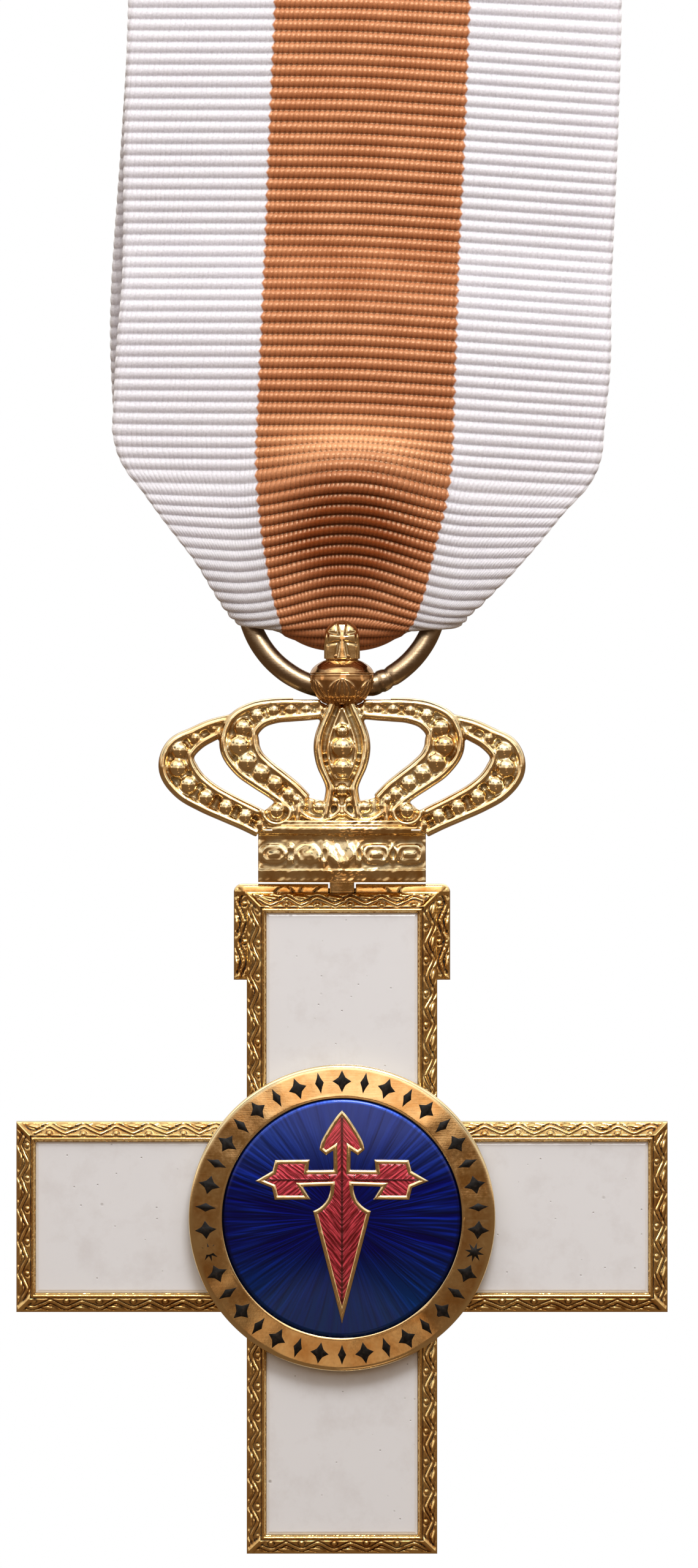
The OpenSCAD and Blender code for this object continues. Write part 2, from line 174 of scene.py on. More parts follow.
# %% The tent
# Direction of each card (to the right, to the back, up), its half width in degrees, and its brightness.
# The last ones are black cards, which take light away and draw dark streaks in the metal
CARDS = [
    ((-0.35, -0.5, 0.8), 20, 1.3), ((0.5, -0.5, 0.7), 13, 1.0), ((-0.93, -0.3, 0.22), 7, 0.8),
    ((0.95, -0.25, 0.15), 5, 0.7), ((0.12, -0.75, -0.65), 7, 0.6), ((0.03, -0.97, 0.23), 10, 1.1),
    ((-0.02, -0.97, -0.22), 6, 0.42), ((0.1, 0.75, 0.65), 22, 1.0), ((-0.4, -0.75, 0.5), 7, -0.8),
    ((0.55, -0.7, 0.42), 8, -0.8), ((0.08, -0.6, 0.8), 6, -0.8), ((-0.85, -0.3, 0.45), 9, -0.8),
    ((0.9, -0.2, 0.5), 9, -0.8),
]
# A card fades in between these shares of its half width
CARD_FADE = (1.25, 0.85)
TENT_TOP = 1.0
TENT_BOTTOM = 0.19
LEAST_LIGHT = 0.05
# Heights between which the tent turns from dark to bright, as the sine of the elevation
DUSK = (0.01, 0.33)

world = bpy.data.worlds.new("light tent")
bpy.context.scene.world = world
world.use_nodes = True
tent = world.node_tree
tent.nodes.clear()
direction = add(tent, "TexCoord", output="Generated")
above = direction.parts()[2].ramp(*DUSK, interpolation_type="SMOOTHSTEP")
light = above.ramp(0.0, 1.0, TENT_BOTTOM, TENT_TOP)
for aim, half_width, brightness in CARDS:
    towards = direction.vector("DOT_PRODUCT", {1: Vector(aim).normalized()}, "Value")
    fade = [math.cos(math.radians(half_width * share)) for share in CARD_FADE]
    light += towards.ramp(*fade, 0.0, brightness, interpolation_type="SMOOTHSTEP")
light = light.calc("MAXIMUM", LEAST_LIGHT)
tent_light = add(tent, "Background", {"Color": above.mix("#ffcf9e", "#fffaf4"), "Strength": light})
backdrop = add(tent, "Background", {"Color": srgb("#ffffff")})
seen = add(tent, "LightPath", output="Is Camera Ray")
add(tent, "OutputWorld", {"Surface": add(tent, "MixShader", {0: seen, 1: tent_light, 2: backdrop})})
bpy.context.scene.view_settings.view_transform = "Standard"
print(len(CARDS), "cards in the tent")

# %% [markdown]
# The photographer's lamp stood close, in front and above, and makes the cords of the ribbon stand out. Its
# light falls off a little towards the top of the ribbon and towards the lower arm. One soft area lamp at
# about 15 cm does the same.

# %% The near lamp
LAMP_PLACE = (20, -105, 135)
LAMP_TARGET = (4, 0, 30)
LAMP_SIZE = 60
LAMP_WATTS = 0.16

lamp = bpy.data.objects.new("near lamp", bpy.data.lights.new("near lamp", "AREA"))
lamp.data.size = LAMP_SIZE * MM
lamp.data.energy = LAMP_WATTS
lamp.location = HEART + MM * Vector(LAMP_PLACE)
lamp.rotation_euler = (Vector(LAMP_TARGET) - Vector(LAMP_PLACE)).to_track_quat("-Z", "Y").to_euler()
bpy.context.scene.collection.objects.link(lamp)
print("lamp at", round(math.dist(LAMP_PLACE, LAMP_TARGET)), "mm")

# %% [markdown]
# ## Mesh tools
#
# Three ways of making a surface cover the whole object. A grid of points is skinned with quads for all that
# is swept, engraved or woven. Separate closed shapes are melted into one skin with a voxel remesh for what
# was cast. A cutter is taken away from a shape where something passes through it.

# %% Grids
def grid_faces(rows, columns, close_rows=False, close_columns=False, capped=False):
    """Quads over a grid of points that are numbered row by row. capped closes the first and last column."""
    i, k = np.meshgrid(
        np.arange(rows if close_rows else rows - 1),
        np.arange(columns if close_columns else columns - 1), indexing="ij",
    )
    next_i = (i + 1) % rows
    next_k = (k + 1) % columns
    corners = (i * columns + k, next_i * columns + k, next_i * columns + next_k, i * columns + next_k)
    faces = np.stack(corners, -1).reshape(-1, 4).tolist()
    if capped:
        faces += [[i * columns + k for i in range(rows)] for k in (0, columns - 1)]
    return faces


def tube_faces(rows, columns):
    """Quads over a grid whose rows are rings, closed by its first and last ring."""
    faces = grid_faces(rows, columns, close_columns=True)
    return faces + [list(range(columns)), list(range(rows * columns - 1, (rows - 1) * columns - 1, -1))]


def joined(parts):
    """Points and faces of several parts as one."""
    points, faces, first = [], [], 0
    for part_points, part_faces in parts:
        part_points = np.reshape(part_points, (-1, 3))
        points.append(part_points)
        faces += [[first + k for k in face] for face in part_faces]
        first += len(part_points)
    return np.concatenate(points), faces


def backed(front, back_y):
    """Height field (a grid of points) with straight sides and a flat back."""
    columns, rows = front.shape[:2]
    rim = [i * rows for i in range(columns)] + [(columns - 1) * rows + k for k in range(1, rows)]
    rim += [i * rows + rows - 1 for i in range(columns - 2, -1, -1)] + list(range(rows - 2, 0, -1))
    front = front.reshape(-1, 3)
    back_rim = front[rim].copy()
    back_rim[:, 1] = back_y
    first, count = len(front), len(rim)
    sides = [[rim[k], rim[(k + 1) % count], first + (k + 1) % count, first + k] for k in range(count)]
    faces = grid_faces(columns, rows) + sides + [[first + k for k in range(count)]]
    return np.vstack([front, back_rim]), faces


def make_mesh(name, points, faces):
    """Mesh whose faces look outwards, from points in millimetres about the centre of the cross."""
    mesh = bpy.data.meshes.new(name)
    mesh.from_pydata(np.reshape(points, (-1, 3)).astype(float).tolist(), [], faces)
    work = bmesh.new()
    work.from_mesh(mesh)
    bmesh.ops.recalc_face_normals(work, faces=work.faces)
    work.to_mesh(mesh)
    work.free()
    return mesh


print("a grid of 3 by 4 points has", len(grid_faces(3, 4)), "quads")

# %% Points, edges and averages
def read(items, field, width=1, kind=np.float32):
    """One field of all items of a mesh as an array."""
    flat = np.empty(len(items) * width, kind)
    items.foreach_get(field, flat)
    return flat.reshape(-1, width) if width > 1 else flat


def mesh_points(mesh):
    """Places of all points."""
    return read(mesh.vertices, "co", 3).astype(float)


def set_points(mesh, points):
    """Moves all points."""
    mesh.vertices.foreach_set("co", points.astype(np.float32).ravel())
    mesh.update()


def averaged(mesh, points, passes, share=1.0):
    """Moves each point towards the mean of its neighbours, a number of times."""
    a, b = read(mesh.edges, "vertices", 2, np.int32).T
    count = len(points)
    neighbours = np.bincount(np.concatenate([a, b]), minlength=count).clip(1)[:, None]
    for _ in range(passes):
        total = np.stack(
            [np.bincount(a, points[b, k], count) + np.bincount(b, points[a, k], count) for k in range(3)], 1
        )
        points = points + share * (total / neighbours - points)
    return points


probe = make_mesh("probe", [(0, 0, 0), (1, 0, 0), (0, 0, 1)], [[0, 1, 2]])
print("a triangle shrinks to", averaged(probe, mesh_points(probe), 1).round(1).tolist())
bpy.data.meshes.remove(probe)

# %% [markdown]
# Dirt gathers in hollows, and rubbing brightens what stands proud. Both can be measured: after some
# averaging a point in a hollow has moved outwards, and a point on a ridge has moved inwards. That distance
# is kept as an attribute of the mesh, and the metal's material reads it.

# %% Hollows and ridges
FLAT_BACK = 0.01


def mark_hollows(mesh, passes, depth):
    """Keeps how deep each point lies, from -1 on a ridge to 1 in a hollow. depth is what counts as 1."""
    points = mesh_points(mesh)
    moved = averaged(mesh, points, passes) - points
    outwards = (moved * read(mesh.vertices, "normal", 3)).sum(1)
    # The flat back has few points, so what they hold would spread over all of it
    outwards[points[:, 1] > points[:, 1].max() - FLAT_BACK] = 0
    kept = mesh.attributes.new("hollow", "FLOAT", "POINT")
    kept.data.foreach_set("value", (outwards / depth).clip(-1, 1).astype(np.float32))
    print(f"{mesh.name}: {(outwards > depth / 2).mean():.0%} of its points lie in hollows")


# %% Melting and cutting
def through_modifiers(mesh, recipe):
    """New mesh of the same name, after the modifiers that recipe(carrier) adds."""
    name = mesh.name
    carrier = bpy.data.objects.new("carrier", mesh)
    bpy.context.scene.collection.objects.link(carrier)
    recipe(carrier)
    bpy.context.view_layer.update()
    made = bpy.data.meshes.new_from_object(carrier.evaluated_get(bpy.context.evaluated_depsgraph_get()))
    bpy.data.objects.remove(carrier)
    bpy.data.meshes.remove(mesh)
    made.name = name
    return made


def melted(name, parts, voxel, passes=2):
    """One soft skin over overlapping closed parts."""
    def recipe(carrier):
        skin = carrier.modifiers.new("skin", "REMESH")
        skin.mode = "VOXEL"
        skin.voxel_size = voxel

    mesh = through_modifiers(make_mesh(name, *joined(parts)), recipe)
    set_points(mesh, averaged(mesh, mesh_points(mesh), passes, 0.5))
    print(f"{name}: {len(parts)} parts melted into one skin")
    return mesh


def cut(mesh, cutters, operation="DIFFERENCE"):
    """The mesh after closed cutters are taken away from it, or what it shares with them."""
    tools = []

    def recipe(carrier):
        for points, faces in cutters:
            tool = bpy.data.objects.new("tool", make_mesh("tool", points, faces))
            bpy.context.scene.collection.objects.link(tool)
            tools.append(tool)
            step = carrier.modifiers.new("cut", "BOOLEAN")
            step.operation = operation
            step.solver = "MANIFOLD"
            step.object = tool

    made = through_modifiers(mesh, recipe)
    for tool in tools:
        bpy.data.meshes.remove(tool.data)
    return made


print("a soft skin and a cut are each one call")

# %% [markdown]
# Each finished piece goes through one function: it turns millimetres into metres, moves the piece to the
# cross, gives it its material and its slot, and lets it ride on the solid that carries it.

# %% Finishing a piece
FACES_BACK = 0.999


def finish_piece(mesh, material, body, stands_for=(), hollows=None):
    """Object from a mesh in millimetres about the centre of the cross, riding on one body."""
    if hollows:
        mark_hollows(mesh, *hollows)
    # The flat backs of the metal pieces are shaded flat, so they keep a crisp edge
    normals = read(mesh.polygons, "normal", 3)
    round_face = (normals[:, 1] < FACES_BACK) | (material["slot"] == "ribbon_cloth")
    mesh.polygons.foreach_set("use_smooth", round_face)
    set_points(mesh, mesh_points(mesh) * MM + np.array(HEART))
    mesh.materials.clear()
    mesh.materials.append(material)
    piece = bpy.data.objects.new(mesh.name, mesh)
    bpy.context.scene.collection.objects.link(piece)
    if stands_for:
        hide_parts(*stands_for)
    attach(piece, body)
    mesh.calc_loop_triangles()
    print(f"{mesh.name}: {len(mesh.loop_triangles)} triangles, rides on {body}")
    return piece


print("a piece is finished by one call")

# %% [markdown]
# Few simple solids are enough to start from: a ball, a bar of any section along a line, and a plate cut to
# an outline. Lines are drawn in the front view, across and up, and depth comes last.

# %% Balls, bars and plates
def ball(place, radius, rings=10, sides=16):
    """Closed ball. radius is one number, or one for each axis."""
    theta = np.linspace(0, math.pi, rings + 1)[1:-1, None]
    phi = np.linspace(0, 2 * math.pi, sides, endpoint=False)[None, :]
    shell = np.stack(
        [np.sin(theta) * np.cos(phi), np.sin(theta) * np.sin(phi), np.cos(theta) + 0 * phi], -1
    ).reshape(-1, 3)
    points = np.vstack([shell, [[0, 0, 1], [0, 0, -1]]]) * radius + np.array(place)
    faces = grid_faces(rings - 1, sides, close_columns=True)
    top = len(shell)
    last = top - sides
    for k in range(sides):
        following = (k + 1) % sides
        faces += [[top, k, following], [top + 1, last + following, last + k]]
    return points, faces


def smooth_rows(rows, steps, closed=False):
    """Smooth curve through the rows of a table, with steps points from each row to the next."""
    rows = np.array(rows, float)
    ends = (rows[-1:], rows[:2]) if closed else (rows[:1], rows[-1:])
    around = np.vstack([ends[0], rows, ends[1]])
    count = len(rows) if closed else len(rows) - 1
    before, here, after, then = (around[k:k + count][:, None, :] for k in range(4))
    t = (np.arange(steps) / steps)[None, :, None]
    curve = here + 0.5 * (
        (after - before) * t
        + (2 * before - 5 * here + 4 * after - then) * t ** 2
        + (3 * here - before - 3 * after + then) * t ** 3
    )
    curve = curve.reshape(-1, rows.shape[1])
    return curve if closed else np.vstack([curve, rows[-1:]])


def bar(line, section):
    """Closed bar along a line (across, up). section has its outline at each point: aside, depth."""
    line = np.asarray(line)[:, :2]
    along = np.gradient(line, axis=0)
    along /= np.linalg.norm(along, axis=1, keepdims=True)
    aside = np.stack([-along[:, 1], along[:, 0]], 1)
    section = np.broadcast_to(section, (len(line), *np.shape(section)[-2:]))
    flat = line[:, None, :] + aside[:, None, :] * section[..., :1]
    points = np.stack([flat[..., 0], section[..., 1], flat[..., 1]], -1)
    return points.reshape(-1, 3), tube_faces(*points.shape[:2])


def circle(radius, sides):
    """Points round a circle."""
    turn = np.linspace(0, 2 * math.pi, sides, endpoint=False)
    return radius * np.stack([np.cos(turn), np.sin(turn)], 1)


def arc(middle, radii, start, end, count):
    """Points on a part of a circle or an ellipse, between two angles in degrees."""
    turn = np.radians(np.linspace(start, end, count))
    return np.stack([middle[0] + radii[0] * np.cos(turn), middle[1] + radii[1] * np.sin(turn)], 1)


def oval(across, deep, place=(0, 0), sides=12):
    """Outline of a round wire: half width, half depth and middle (aside, depth)."""
    return np.array(place) + (across, deep) * circle(1, sides)


def plate(outline, front, back):
    """Closed plate of an outline (across, up)."""
    outline = np.array(outline, float)
    points = [np.insert(outline, 1, depth, axis=1) for depth in (front, back)]
    return np.vstack(points), tube_faces(2, len(outline))


def round_bar(ends, deep, up, radius, sides):
    """Closed cylinder across, between two ends."""
    ring = np.insert(circle(radius, sides) + (deep, up), 0, 0, axis=1)
    return np.vstack([ring + (end, 0, 0) for end in ends]), tube_faces(2, sides)


def inset_corners(outline, distance):
    """Corners of a counterclockwise outline, moved inwards by a distance with mitres."""
    outline = np.array(outline, float)
    along = np.roll(outline, -1, 0) - outline
    along /= np.linalg.norm(along, axis=1, keepdims=True)
    after = np.stack([-along[:, 1], along[:, 0]], 1)
    before = np.roll(after, 1, 0)
    return outline + distance * (before + after) / (1 + (before * after).sum(1))[:, None]


print("a ball has", len(ball((0, 0, 0), 1)[0]), "points")

# %% [markdown]
# Hand work is never quite even. A sum of a few slow waves, with phases from a fixed seed, makes lines and
# depths wander by a few hundredths of a millimetre, the same at every run. Cuts and ridges are narrow bells,
# and a stone or a bead is the top of a dome.

# %% Unevenness, cuts and domes
def wander(along, longest, seed):
    """Slow waves along a distance, mostly between -1 and 1."""
    draw = np.random.default_rng(seed)
    total = np.zeros(np.shape(along))
    for octave in range(4):
        turns = np.asarray(along) * 1.7 ** octave / longest + draw.random()
        total += np.sin(2 * math.pi * turns) / (1 + octave)
    return total / 2


def bell(away, width):
    """1 in the middle of a cut or ridge, fading out over its width."""
    return np.exp(-(away / width) ** 2)


print("unevenness at 0, 1 and 2 mm:", np.round(wander(np.arange(3), 5, 1), 2))

# %% [markdown]
# ## Gilding
#
# The metal is bronze with a thin layer of gold, bright where it was polished or rubbed and warmer where it
# was left as cast. Dirt and old polish stay in the hollows and turn them dark brown. One recipe makes every
# metal here: two tones in slow patches, dirt where the mesh says there is a hollow, a paler tone on the
# ridges, and fine waves that make reflections wander as they do on hand-finished metal.

# %% Tools for materials
MICRON = 1e-6


def new_material(name, slot):
    """Material with an empty network and one principled shader."""
    material = bpy.data.materials.new(name)
    material["slot"] = slot
    material.use_nodes = True
    tree = material.node_tree
    tree.nodes.clear()
    shader = add(tree, "BsdfPrincipled")
    add(tree, "OutputMaterial", {"Surface": shader})
    return material, tree, shader


def fill(shader, **inputs):
    """Feeds the shader. The names of its inputs are written with _ for a space."""
    feed(shader.node, {name.replace("_", " "): value for name, value in inputs.items()})


def millimetres(place):
    """A place in millimetres."""
    return place.vector("SCALE", {"Scale": 1 / MM})


def on_object(tree):
    """Place of the point on the object, in millimetres."""
    return millimetres(add(tree, "TexCoord", output="Object"))


def noise(place, grain_mm, detail=2, roughness=0.5, **settings):
    """Noise whose grain is about grain_mm wide."""
    inputs = {"Vector": place, "Scale": 1 / grain_mm, "Detail": detail, "Roughness": roughness}
    return add(place.tree, "TexNoise", inputs, **settings)


def bumped(height, depth, below=None):
    """Bumps of a depth in metres, over other bumps if there are any."""
    over = {"Normal": below} if below else {}
    return add(height.tree, "Bump", {"Height": height, "Distance": depth, "Strength": 1, **over})


print("tools for materials are ready")

# %% A metal with its dirt
DIRT = "#1f1309"
# Sizes of the slow patches, of the crumbs of dirt and of the metal's grain
PATCH_MM = 2.2
CRUMB_MM = 0.22
GRAIN_MM = 0.11


def metal(name, slot, pale, warm, roughness, wave_mm, wave_depth, grain_depth, soil=1.0, scratches=0.0):
    """Metal with patches, dirt and unevenness. wave_mm is the size of its waves, depths are in microns."""
    material, tree, shader = new_material(name, slot)
    place = on_object(tree)
    tone = noise(place, PATCH_MM, 4, 0.65).ramp(0.35, 0.65)
    relief = add(tree, "Attribute", output="Fac", attribute_name="hollow")
    crumbs = noise(place, CRUMB_MM, 3)
    dirt = relief.calc("MULTIPLY", crumbs.ramp(0.3, 0.6, 0.8 * soil, 1.2 * soil), use_clamp=True)
    gold = relief.ramp(-0.1, -0.8).mix(tone.mix(warm, pale), pale)
    bumps = bumped(noise(place, wave_mm, 1), wave_depth * MICRON)
    bumps = bumped(noise(place, GRAIN_MM), grain_depth * MICRON, bumps)
    if scratches:
        # Fine scratches: noise that is drawn out along one slant direction
        drawn_out = {"Vector": place, "Rotation": (0, 0.9, 0), "Scale": (0.35, 1, 7)}
        slant = add(tree, "Mapping", drawn_out)
        bumps = bumped(noise(slant, 0.5, 3), scratches * MICRON, bumps)
    fill(
        shader, Base_Color=dirt.mix(gold, DIRT), Metallic=dirt.ramp(0, 1, 1.0, 0.4), Normal=bumps,
        Roughness=dirt.ramp(0, 1, roughness, 0.6) + crumbs.ramp(0.3, 0.7, -0.04, 0.06),
    )
    print(name)
    return material


cast_gilt = metal("cast gilt bronze", "cast_gilt", "#f3e0b4", "#cfa66a", 0.1, 1.1, 40, 2, soil=0.6)
engraved_gilt = metal(
    "engraved gilt bronze", "engraved_gilt", "#efce8c", "#bc8038", 0.13, 0.8, 18, 3, soil=1.05
)
dark_gilt = metal("dark cast gilt bronze", "cast_gilt", "#e0b884", "#96693c", 0.08, 1.2, 60, 2, soil=0.9)
polished_gilt = metal(
    "polished gilt bronze", "polished_gilt", "#ecd6a8", "#cba36c", 0.1, 3.2, 50, 1, scratches=1.6
)
antique_brass = metal("darkened brass", "antique_brass", "#958066", "#5e4d3a", 0.3, 1.1, 30, 5, scratches=6)
steel_wire = metal("drawn steel wire", "steel_wire", "#b4b3af", "#8d8c88", 0.3, 2.0, 15, 4)

# %% [markdown]
# ## White enamel
#
# White enamel is glass with tin oxide, melted into the recesses of the arms and stoned flat. It is smooth
# and opaque, so it looks like glazed porcelain. After years it has tiny pits that hold dirt, and faint grey
# clouds.

# %% White enamel
def specks(place, apart, radius, share):
    """Round specks: one at random in some of the cells, 1 inside and 0 outside. Sizes are in mm."""
    cells = {"Vector": place, "Scale": 1 / apart}
    chosen = add(place.tree, "TexVoronoi", cells, "Color").ramp(1 - share, 1 - share * 0.6)
    far = add(place.tree, "TexVoronoi", cells, "Distance")
    return chosen * far.ramp(radius / apart * 1.5, radius / apart * 0.5)


def enamel_white():
    """Smooth opaque glass with clouds and pits."""
    material, tree, shader = new_material("white enamel", "white_enamel")
    place = on_object(tree)
    glass = noise(place, 2.5, 5, 0.7).ramp(0.5, 0.8, 0.0, 0.4).mix("#dddfe4", "#c3bfc0")
    pits = specks(place, 0.8, 0.04, 0.45).calc("MAXIMUM", specks(place, 3.2, 0.09, 0.5))
    fill(
        shader, Base_Color=(pits * 0.55).mix(glass, "#655a54"), Roughness=pits.ramp(0, 1, 0.14, 0.6),
        Normal=bumped(noise(place, 3) - pits, 20 * MICRON), IOR=1.52,
    )
    return material


white_enamel = enamel_white()
print("white enamel is ready")

# %% [markdown]
# ## Translucent enamels
#
# Blue and red are clear coloured glass over bright metal. The metal was engraved first, with rays in the
# round field and with a feather pattern in the sword cross, and the cuts flash through the glass as the
# piece turns. Metal of the glass's colour with the cuts as relief, under a clear smooth coat, gives the
# same flash and stays simple. Along the cuts the colour is also brighter, a painted glint.

# %% Where a point lies on the medallion
def on_medallion(tree):
    """Point in mm from the middle of the medallion, with how far it lies to the right and how far up."""
    place = on_object(tree).vector("SUBTRACT", {1: tuple(HEART / MM)})
    right, _, up = place.parts()
    return place, right, up


def plane(first, second):
    """Point in a plane, from its two parts."""
    return add(first.tree, "CombineXYZ", {"X": first, "Y": second})


print("the glass is drawn about the middle of the medallion")

# %% Blue enamel
RAYS = 10


def enamel_blue():
    """Deep blue over rays. The rays are noise round the circle, strong at the sides."""
    material, tree, shader = new_material("translucent blue enamel", "blue_enamel")
    place, right, up = on_medallion(tree)
    far = plane(right, up).vector("LENGTH", output="Value")
    # The rays shift a little with the distance, as if they were cut in two strokes
    round_place = plane(up.calc("ARCTAN2", right), far.ramp(0, 7.4, 0, 0.1))
    rays = noise(round_place, 1 / RAYS, 2, 0.55, noise_dimensions="2D").ramp(0.35, 0.7)
    # Paler towards the top, painted light from the bright top of the tent, and a little green at the bottom
    painted_top_light = up.ramp(2.2, 5.4, 0.0, 0.9)
    greened = up.ramp(-2.0, -5.4, 0.0, 0.7)
    seen = rays * far.ramp(1.0, 5.5, 0.1, 1.0) * painted_top_light.ramp(0, 1, 1.0, 0.45)
    deep = noise(place, 6, 1).ramp(0.35, 0.65).mix("#000058", "#000864")
    ground = greened.mix(painted_top_light.mix(deep, "#2c48a4"), "#06489c")
    # The colour turns brighter along the rays: the cuts are real, their brightness is a painted glint
    fill(
        shader, Base_Color=seen.ramp(0, 1, 0.0, 0.5).mix(ground, "#0c309c"),
        Normal=bumped(seen, 40 * MICRON),
        Metallic=1.0, Roughness=0.38, Coat_Weight=0.55, Coat_Roughness=0.04,
    )
    return material


blue_enamel = enamel_blue()
print("blue enamel over", RAYS, "broad rays and finer ones")

# %% Red enamel
FEATHER = 0.33
SLANT = 1.25
GUARD_MIDDLE = 2.34
# Between these distances the pattern changes from the blade to the arms, and at the arms' edges back
BLADE_EDGE = (0.72, 0.8)
ARM_EDGE = (1.45, 1.4)


def enamel_red():
    """Red over a feather: cuts that slant away from a middle line, which turns with each limb."""
    material, tree, shader = new_material("translucent red enamel", "red_enamel")
    place, right, height = on_medallion(tree)
    # Beside the blade the feather turns to follow the arms' middle line
    aside = abs(right)
    up = height - GUARD_MIDDLE
    above = abs(up)
    arm = aside.ramp(*BLADE_EDGE) * above.ramp(*ARM_EDGE)
    # The cuts rise outwards in the blade and fall outwards in the head
    in_blade = height + aside * up.ramp(0.0, 0.05, -SLANT, SLANT)
    in_arm = aside - above * SLANT
    run = add(tree, "Mix", {0: arm, 2: in_blade, 3: in_arm}) + noise(place, 0.9) * 0.22
    even = (run * (2 * math.pi / FEATHER)).calc("SINE")
    # Strokes of uneven strength lie over the even cuts, longer along the cut than across it
    middle = add(tree, "Mix", {0: arm, 2: aside, 3: above})
    strokes = noise(plane(run * 4.2, middle), 1, 2, 0.6, noise_dimensions="2D")
    feather = even * 0.4 + strokes.ramp(0.3, 0.7, -1.0, 1.0)
    # A cut along the middle of the blade and of the arms
    vein = middle.ramp(0.1, 0.03)
    # The cuts are real, and the bright pink that follows them is a painted glint
    tone = feather.ramp(-0.5, 1.4, 0.0, 0.95) * noise(place, 0.5, 3).ramp(0.3, 0.7, 0.5, 1.0)
    # Paler in the head and towards the ends of the arms
    pale = up.ramp(-0.5, 2.0, 0.0, 0.4).calc("MAXIMUM", aside.ramp(1.5, 4.5, 0.0, 0.3))
    glass = tone.mix(pale.mix("#720012", "#d4485a"), "#ff5468")
    fill(
        shader, Base_Color=vein.mix(glass, "#4a020c"), Normal=bumped(feather + vein, 20 * MICRON),
        Metallic=0.55, Roughness=0.35, Coat_Weight=0.7, Coat_Roughness=0.05,
    )
    return material


red_enamel = enamel_red()
print("red enamel over cuts every", FEATHER, "mm")

# %% Black enamel
def enamel_black():
    """Black filling, dusty and a little sunken."""
    material, tree, shader = new_material("black enamel", "black_enamel")
    dust = noise(on_object(tree), 0.17, 3)
    fill(
        shader, Base_Color=dust.ramp(0.5, 0.8).mix("#050404", "#281e16"),
        Roughness=dust.ramp(0, 1, 0.25, 0.7), Specular_IOR_Level=0.25,
    )
    return material


black_enamel = enamel_black()
print("black enamel is ready")

# %% Finishes of the solids that stay
FINISHES = {"brooch_pin": steel_wire, "hinge_pin": antique_brass}
FINISHES |= {f"enamel_{side}": white_enamel for side in ("upper", "lower", "left", "right")}
for node_name, finish in FINISHES.items():
    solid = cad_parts[node_name]
    solid.data.materials.clear()
    solid.data.materials.append(finish)
print(len(FINISHES), "solids with their own finish")

# %% [markdown]
# ## The engraved frame
#
# The cross is one struck piece. A frame runs round the enamel: a straight outer side, a slope with a cut
# pattern, a smooth moulding, and a rough line where the enamel was stoned off. The pattern is a wave
# between two grooves, with a ringed dot in each inner bay and a leaf in each outer bay. All of it is real
# relief: a section is swept round the outline with mitred corners, and the pattern is added as height.

# %% Sizes of the cross
FRAME = 1.2
FILLING_GAP = 0.02
cross_low, cross_high = solid_corners("cross_body")
enamel_high = solid_corners("enamel_upper")[1]
ARM = enamel_high[0] + FILLING_GAP + FRAME
UPPER = enamel_high[2] + FILLING_GAP + FRAME
REACH = cross_high[0]
LOWER = -cross_low[2]
CROSS = [
    (-ARM, -LOWER), (ARM, -LOWER), (ARM, -ARM), (REACH, -ARM), (REACH, ARM), (ARM, ARM),
    (ARM, UPPER), (-ARM, UPPER), (-ARM, ARM), (-REACH, ARM), (-REACH, -ARM), (-ARM, -ARM),
]
print(f"arms {2 * ARM:.2f} mm wide, cross {2 * REACH:.2f} by {UPPER + LOWER:.2f} mm")


# %% The cut pattern
def engraving(along, across, period, slope_width, seed):
    """Height of the pattern in mm. across runs from 0 at the outer edge of the slope to 1 at the inner."""
    turn = along / period + 0.035 * wander(along, 5, seed)
    swing = 0.36 * (1 + 0.12 * wander(along, 3, seed + 1))
    across = across + 0.04 * wander(along, 4, seed + 2)
    zigzag = np.arcsin(0.94 * np.sin(2 * math.pi * turn)) * 2 / math.pi
    from_wave = (across - 0.5 - swing * zigzag) * slope_width * 0.88
    height = 0.03 * bell(from_wave, 0.07) - 0.11 * bell(np.abs(from_wave) - 0.155, 0.055)
    # Ringed dots in the inner bays
    beside = ((turn + 0.75) % 1 - 0.5) * period
    far = np.hypot(beside, (across - 0.8) * slope_width)
    height += 0.09 * bell(far, 0.1) - 0.07 * bell(far - 0.2, 0.05)
    # Leaves in the outer bays, each one slanted
    beside = ((turn + 0.25) % 1 - 0.5) * period
    leaf = np.hypot((beside + 0.1) / 0.46, ((across - 0.2) * slope_width + 0.2 * beside) / 0.14)
    return height + 0.08 * (1 - leaf ** 2).clip(0) - 0.06 * bell(leaf - 1.25, 0.25)


trial = engraving(np.arange(0, 2, 0.1), 0.5, 2, 0.9, 0)
print(f"along its middle the pattern goes from {trial.min():.2f} to {trial.max():.2f} mm")

# %% The frame round the arms
# The section, as distance inwards from the outline and depth: outer side, slope, moulding, inner side
SLOPE = ((0.1, -0.5), (0.82, -1.08))
SLOPE_WIDTH = 0.92
share = np.linspace(0, 1, 17)
slope_rows = np.outer(1 - share, SLOPE[0]) + np.outer(share, SLOPE[1])
OUTER_SIDE = [(0.6, 1), (0.22, 1), (0.12, 0.98), (0.03, 0.9), (0, 0.78), (0, 0.2), (0, -0.26), (0.03, -0.4)]
MOULDING = [
    (0.86, -1.0), (0.9, -0.99), (0.94, -1.06), (0.99, -1.12), (1.04, -1.13), (1.09, -1.09),
    (1.12, -1.0), (1.15, -0.93), (1.18, -0.91), (1.2, -0.88), (1.2, -0.6), (1.2, -0.15),
]
SECTION = np.vstack([OUTER_SIDE, slope_rows, MOULDING])
CUT_COLUMNS = slice(len(OUTER_SIDE), len(OUTER_SIDE) + len(share))
ROUGH_COLUMNS = slice(-7, -3)
STATION = 0.075
WAVE = 1.95
CUT_DEPTH = 1.15
# Length at each end of a side that its waves leave free
CORNER_FREE = 0.95

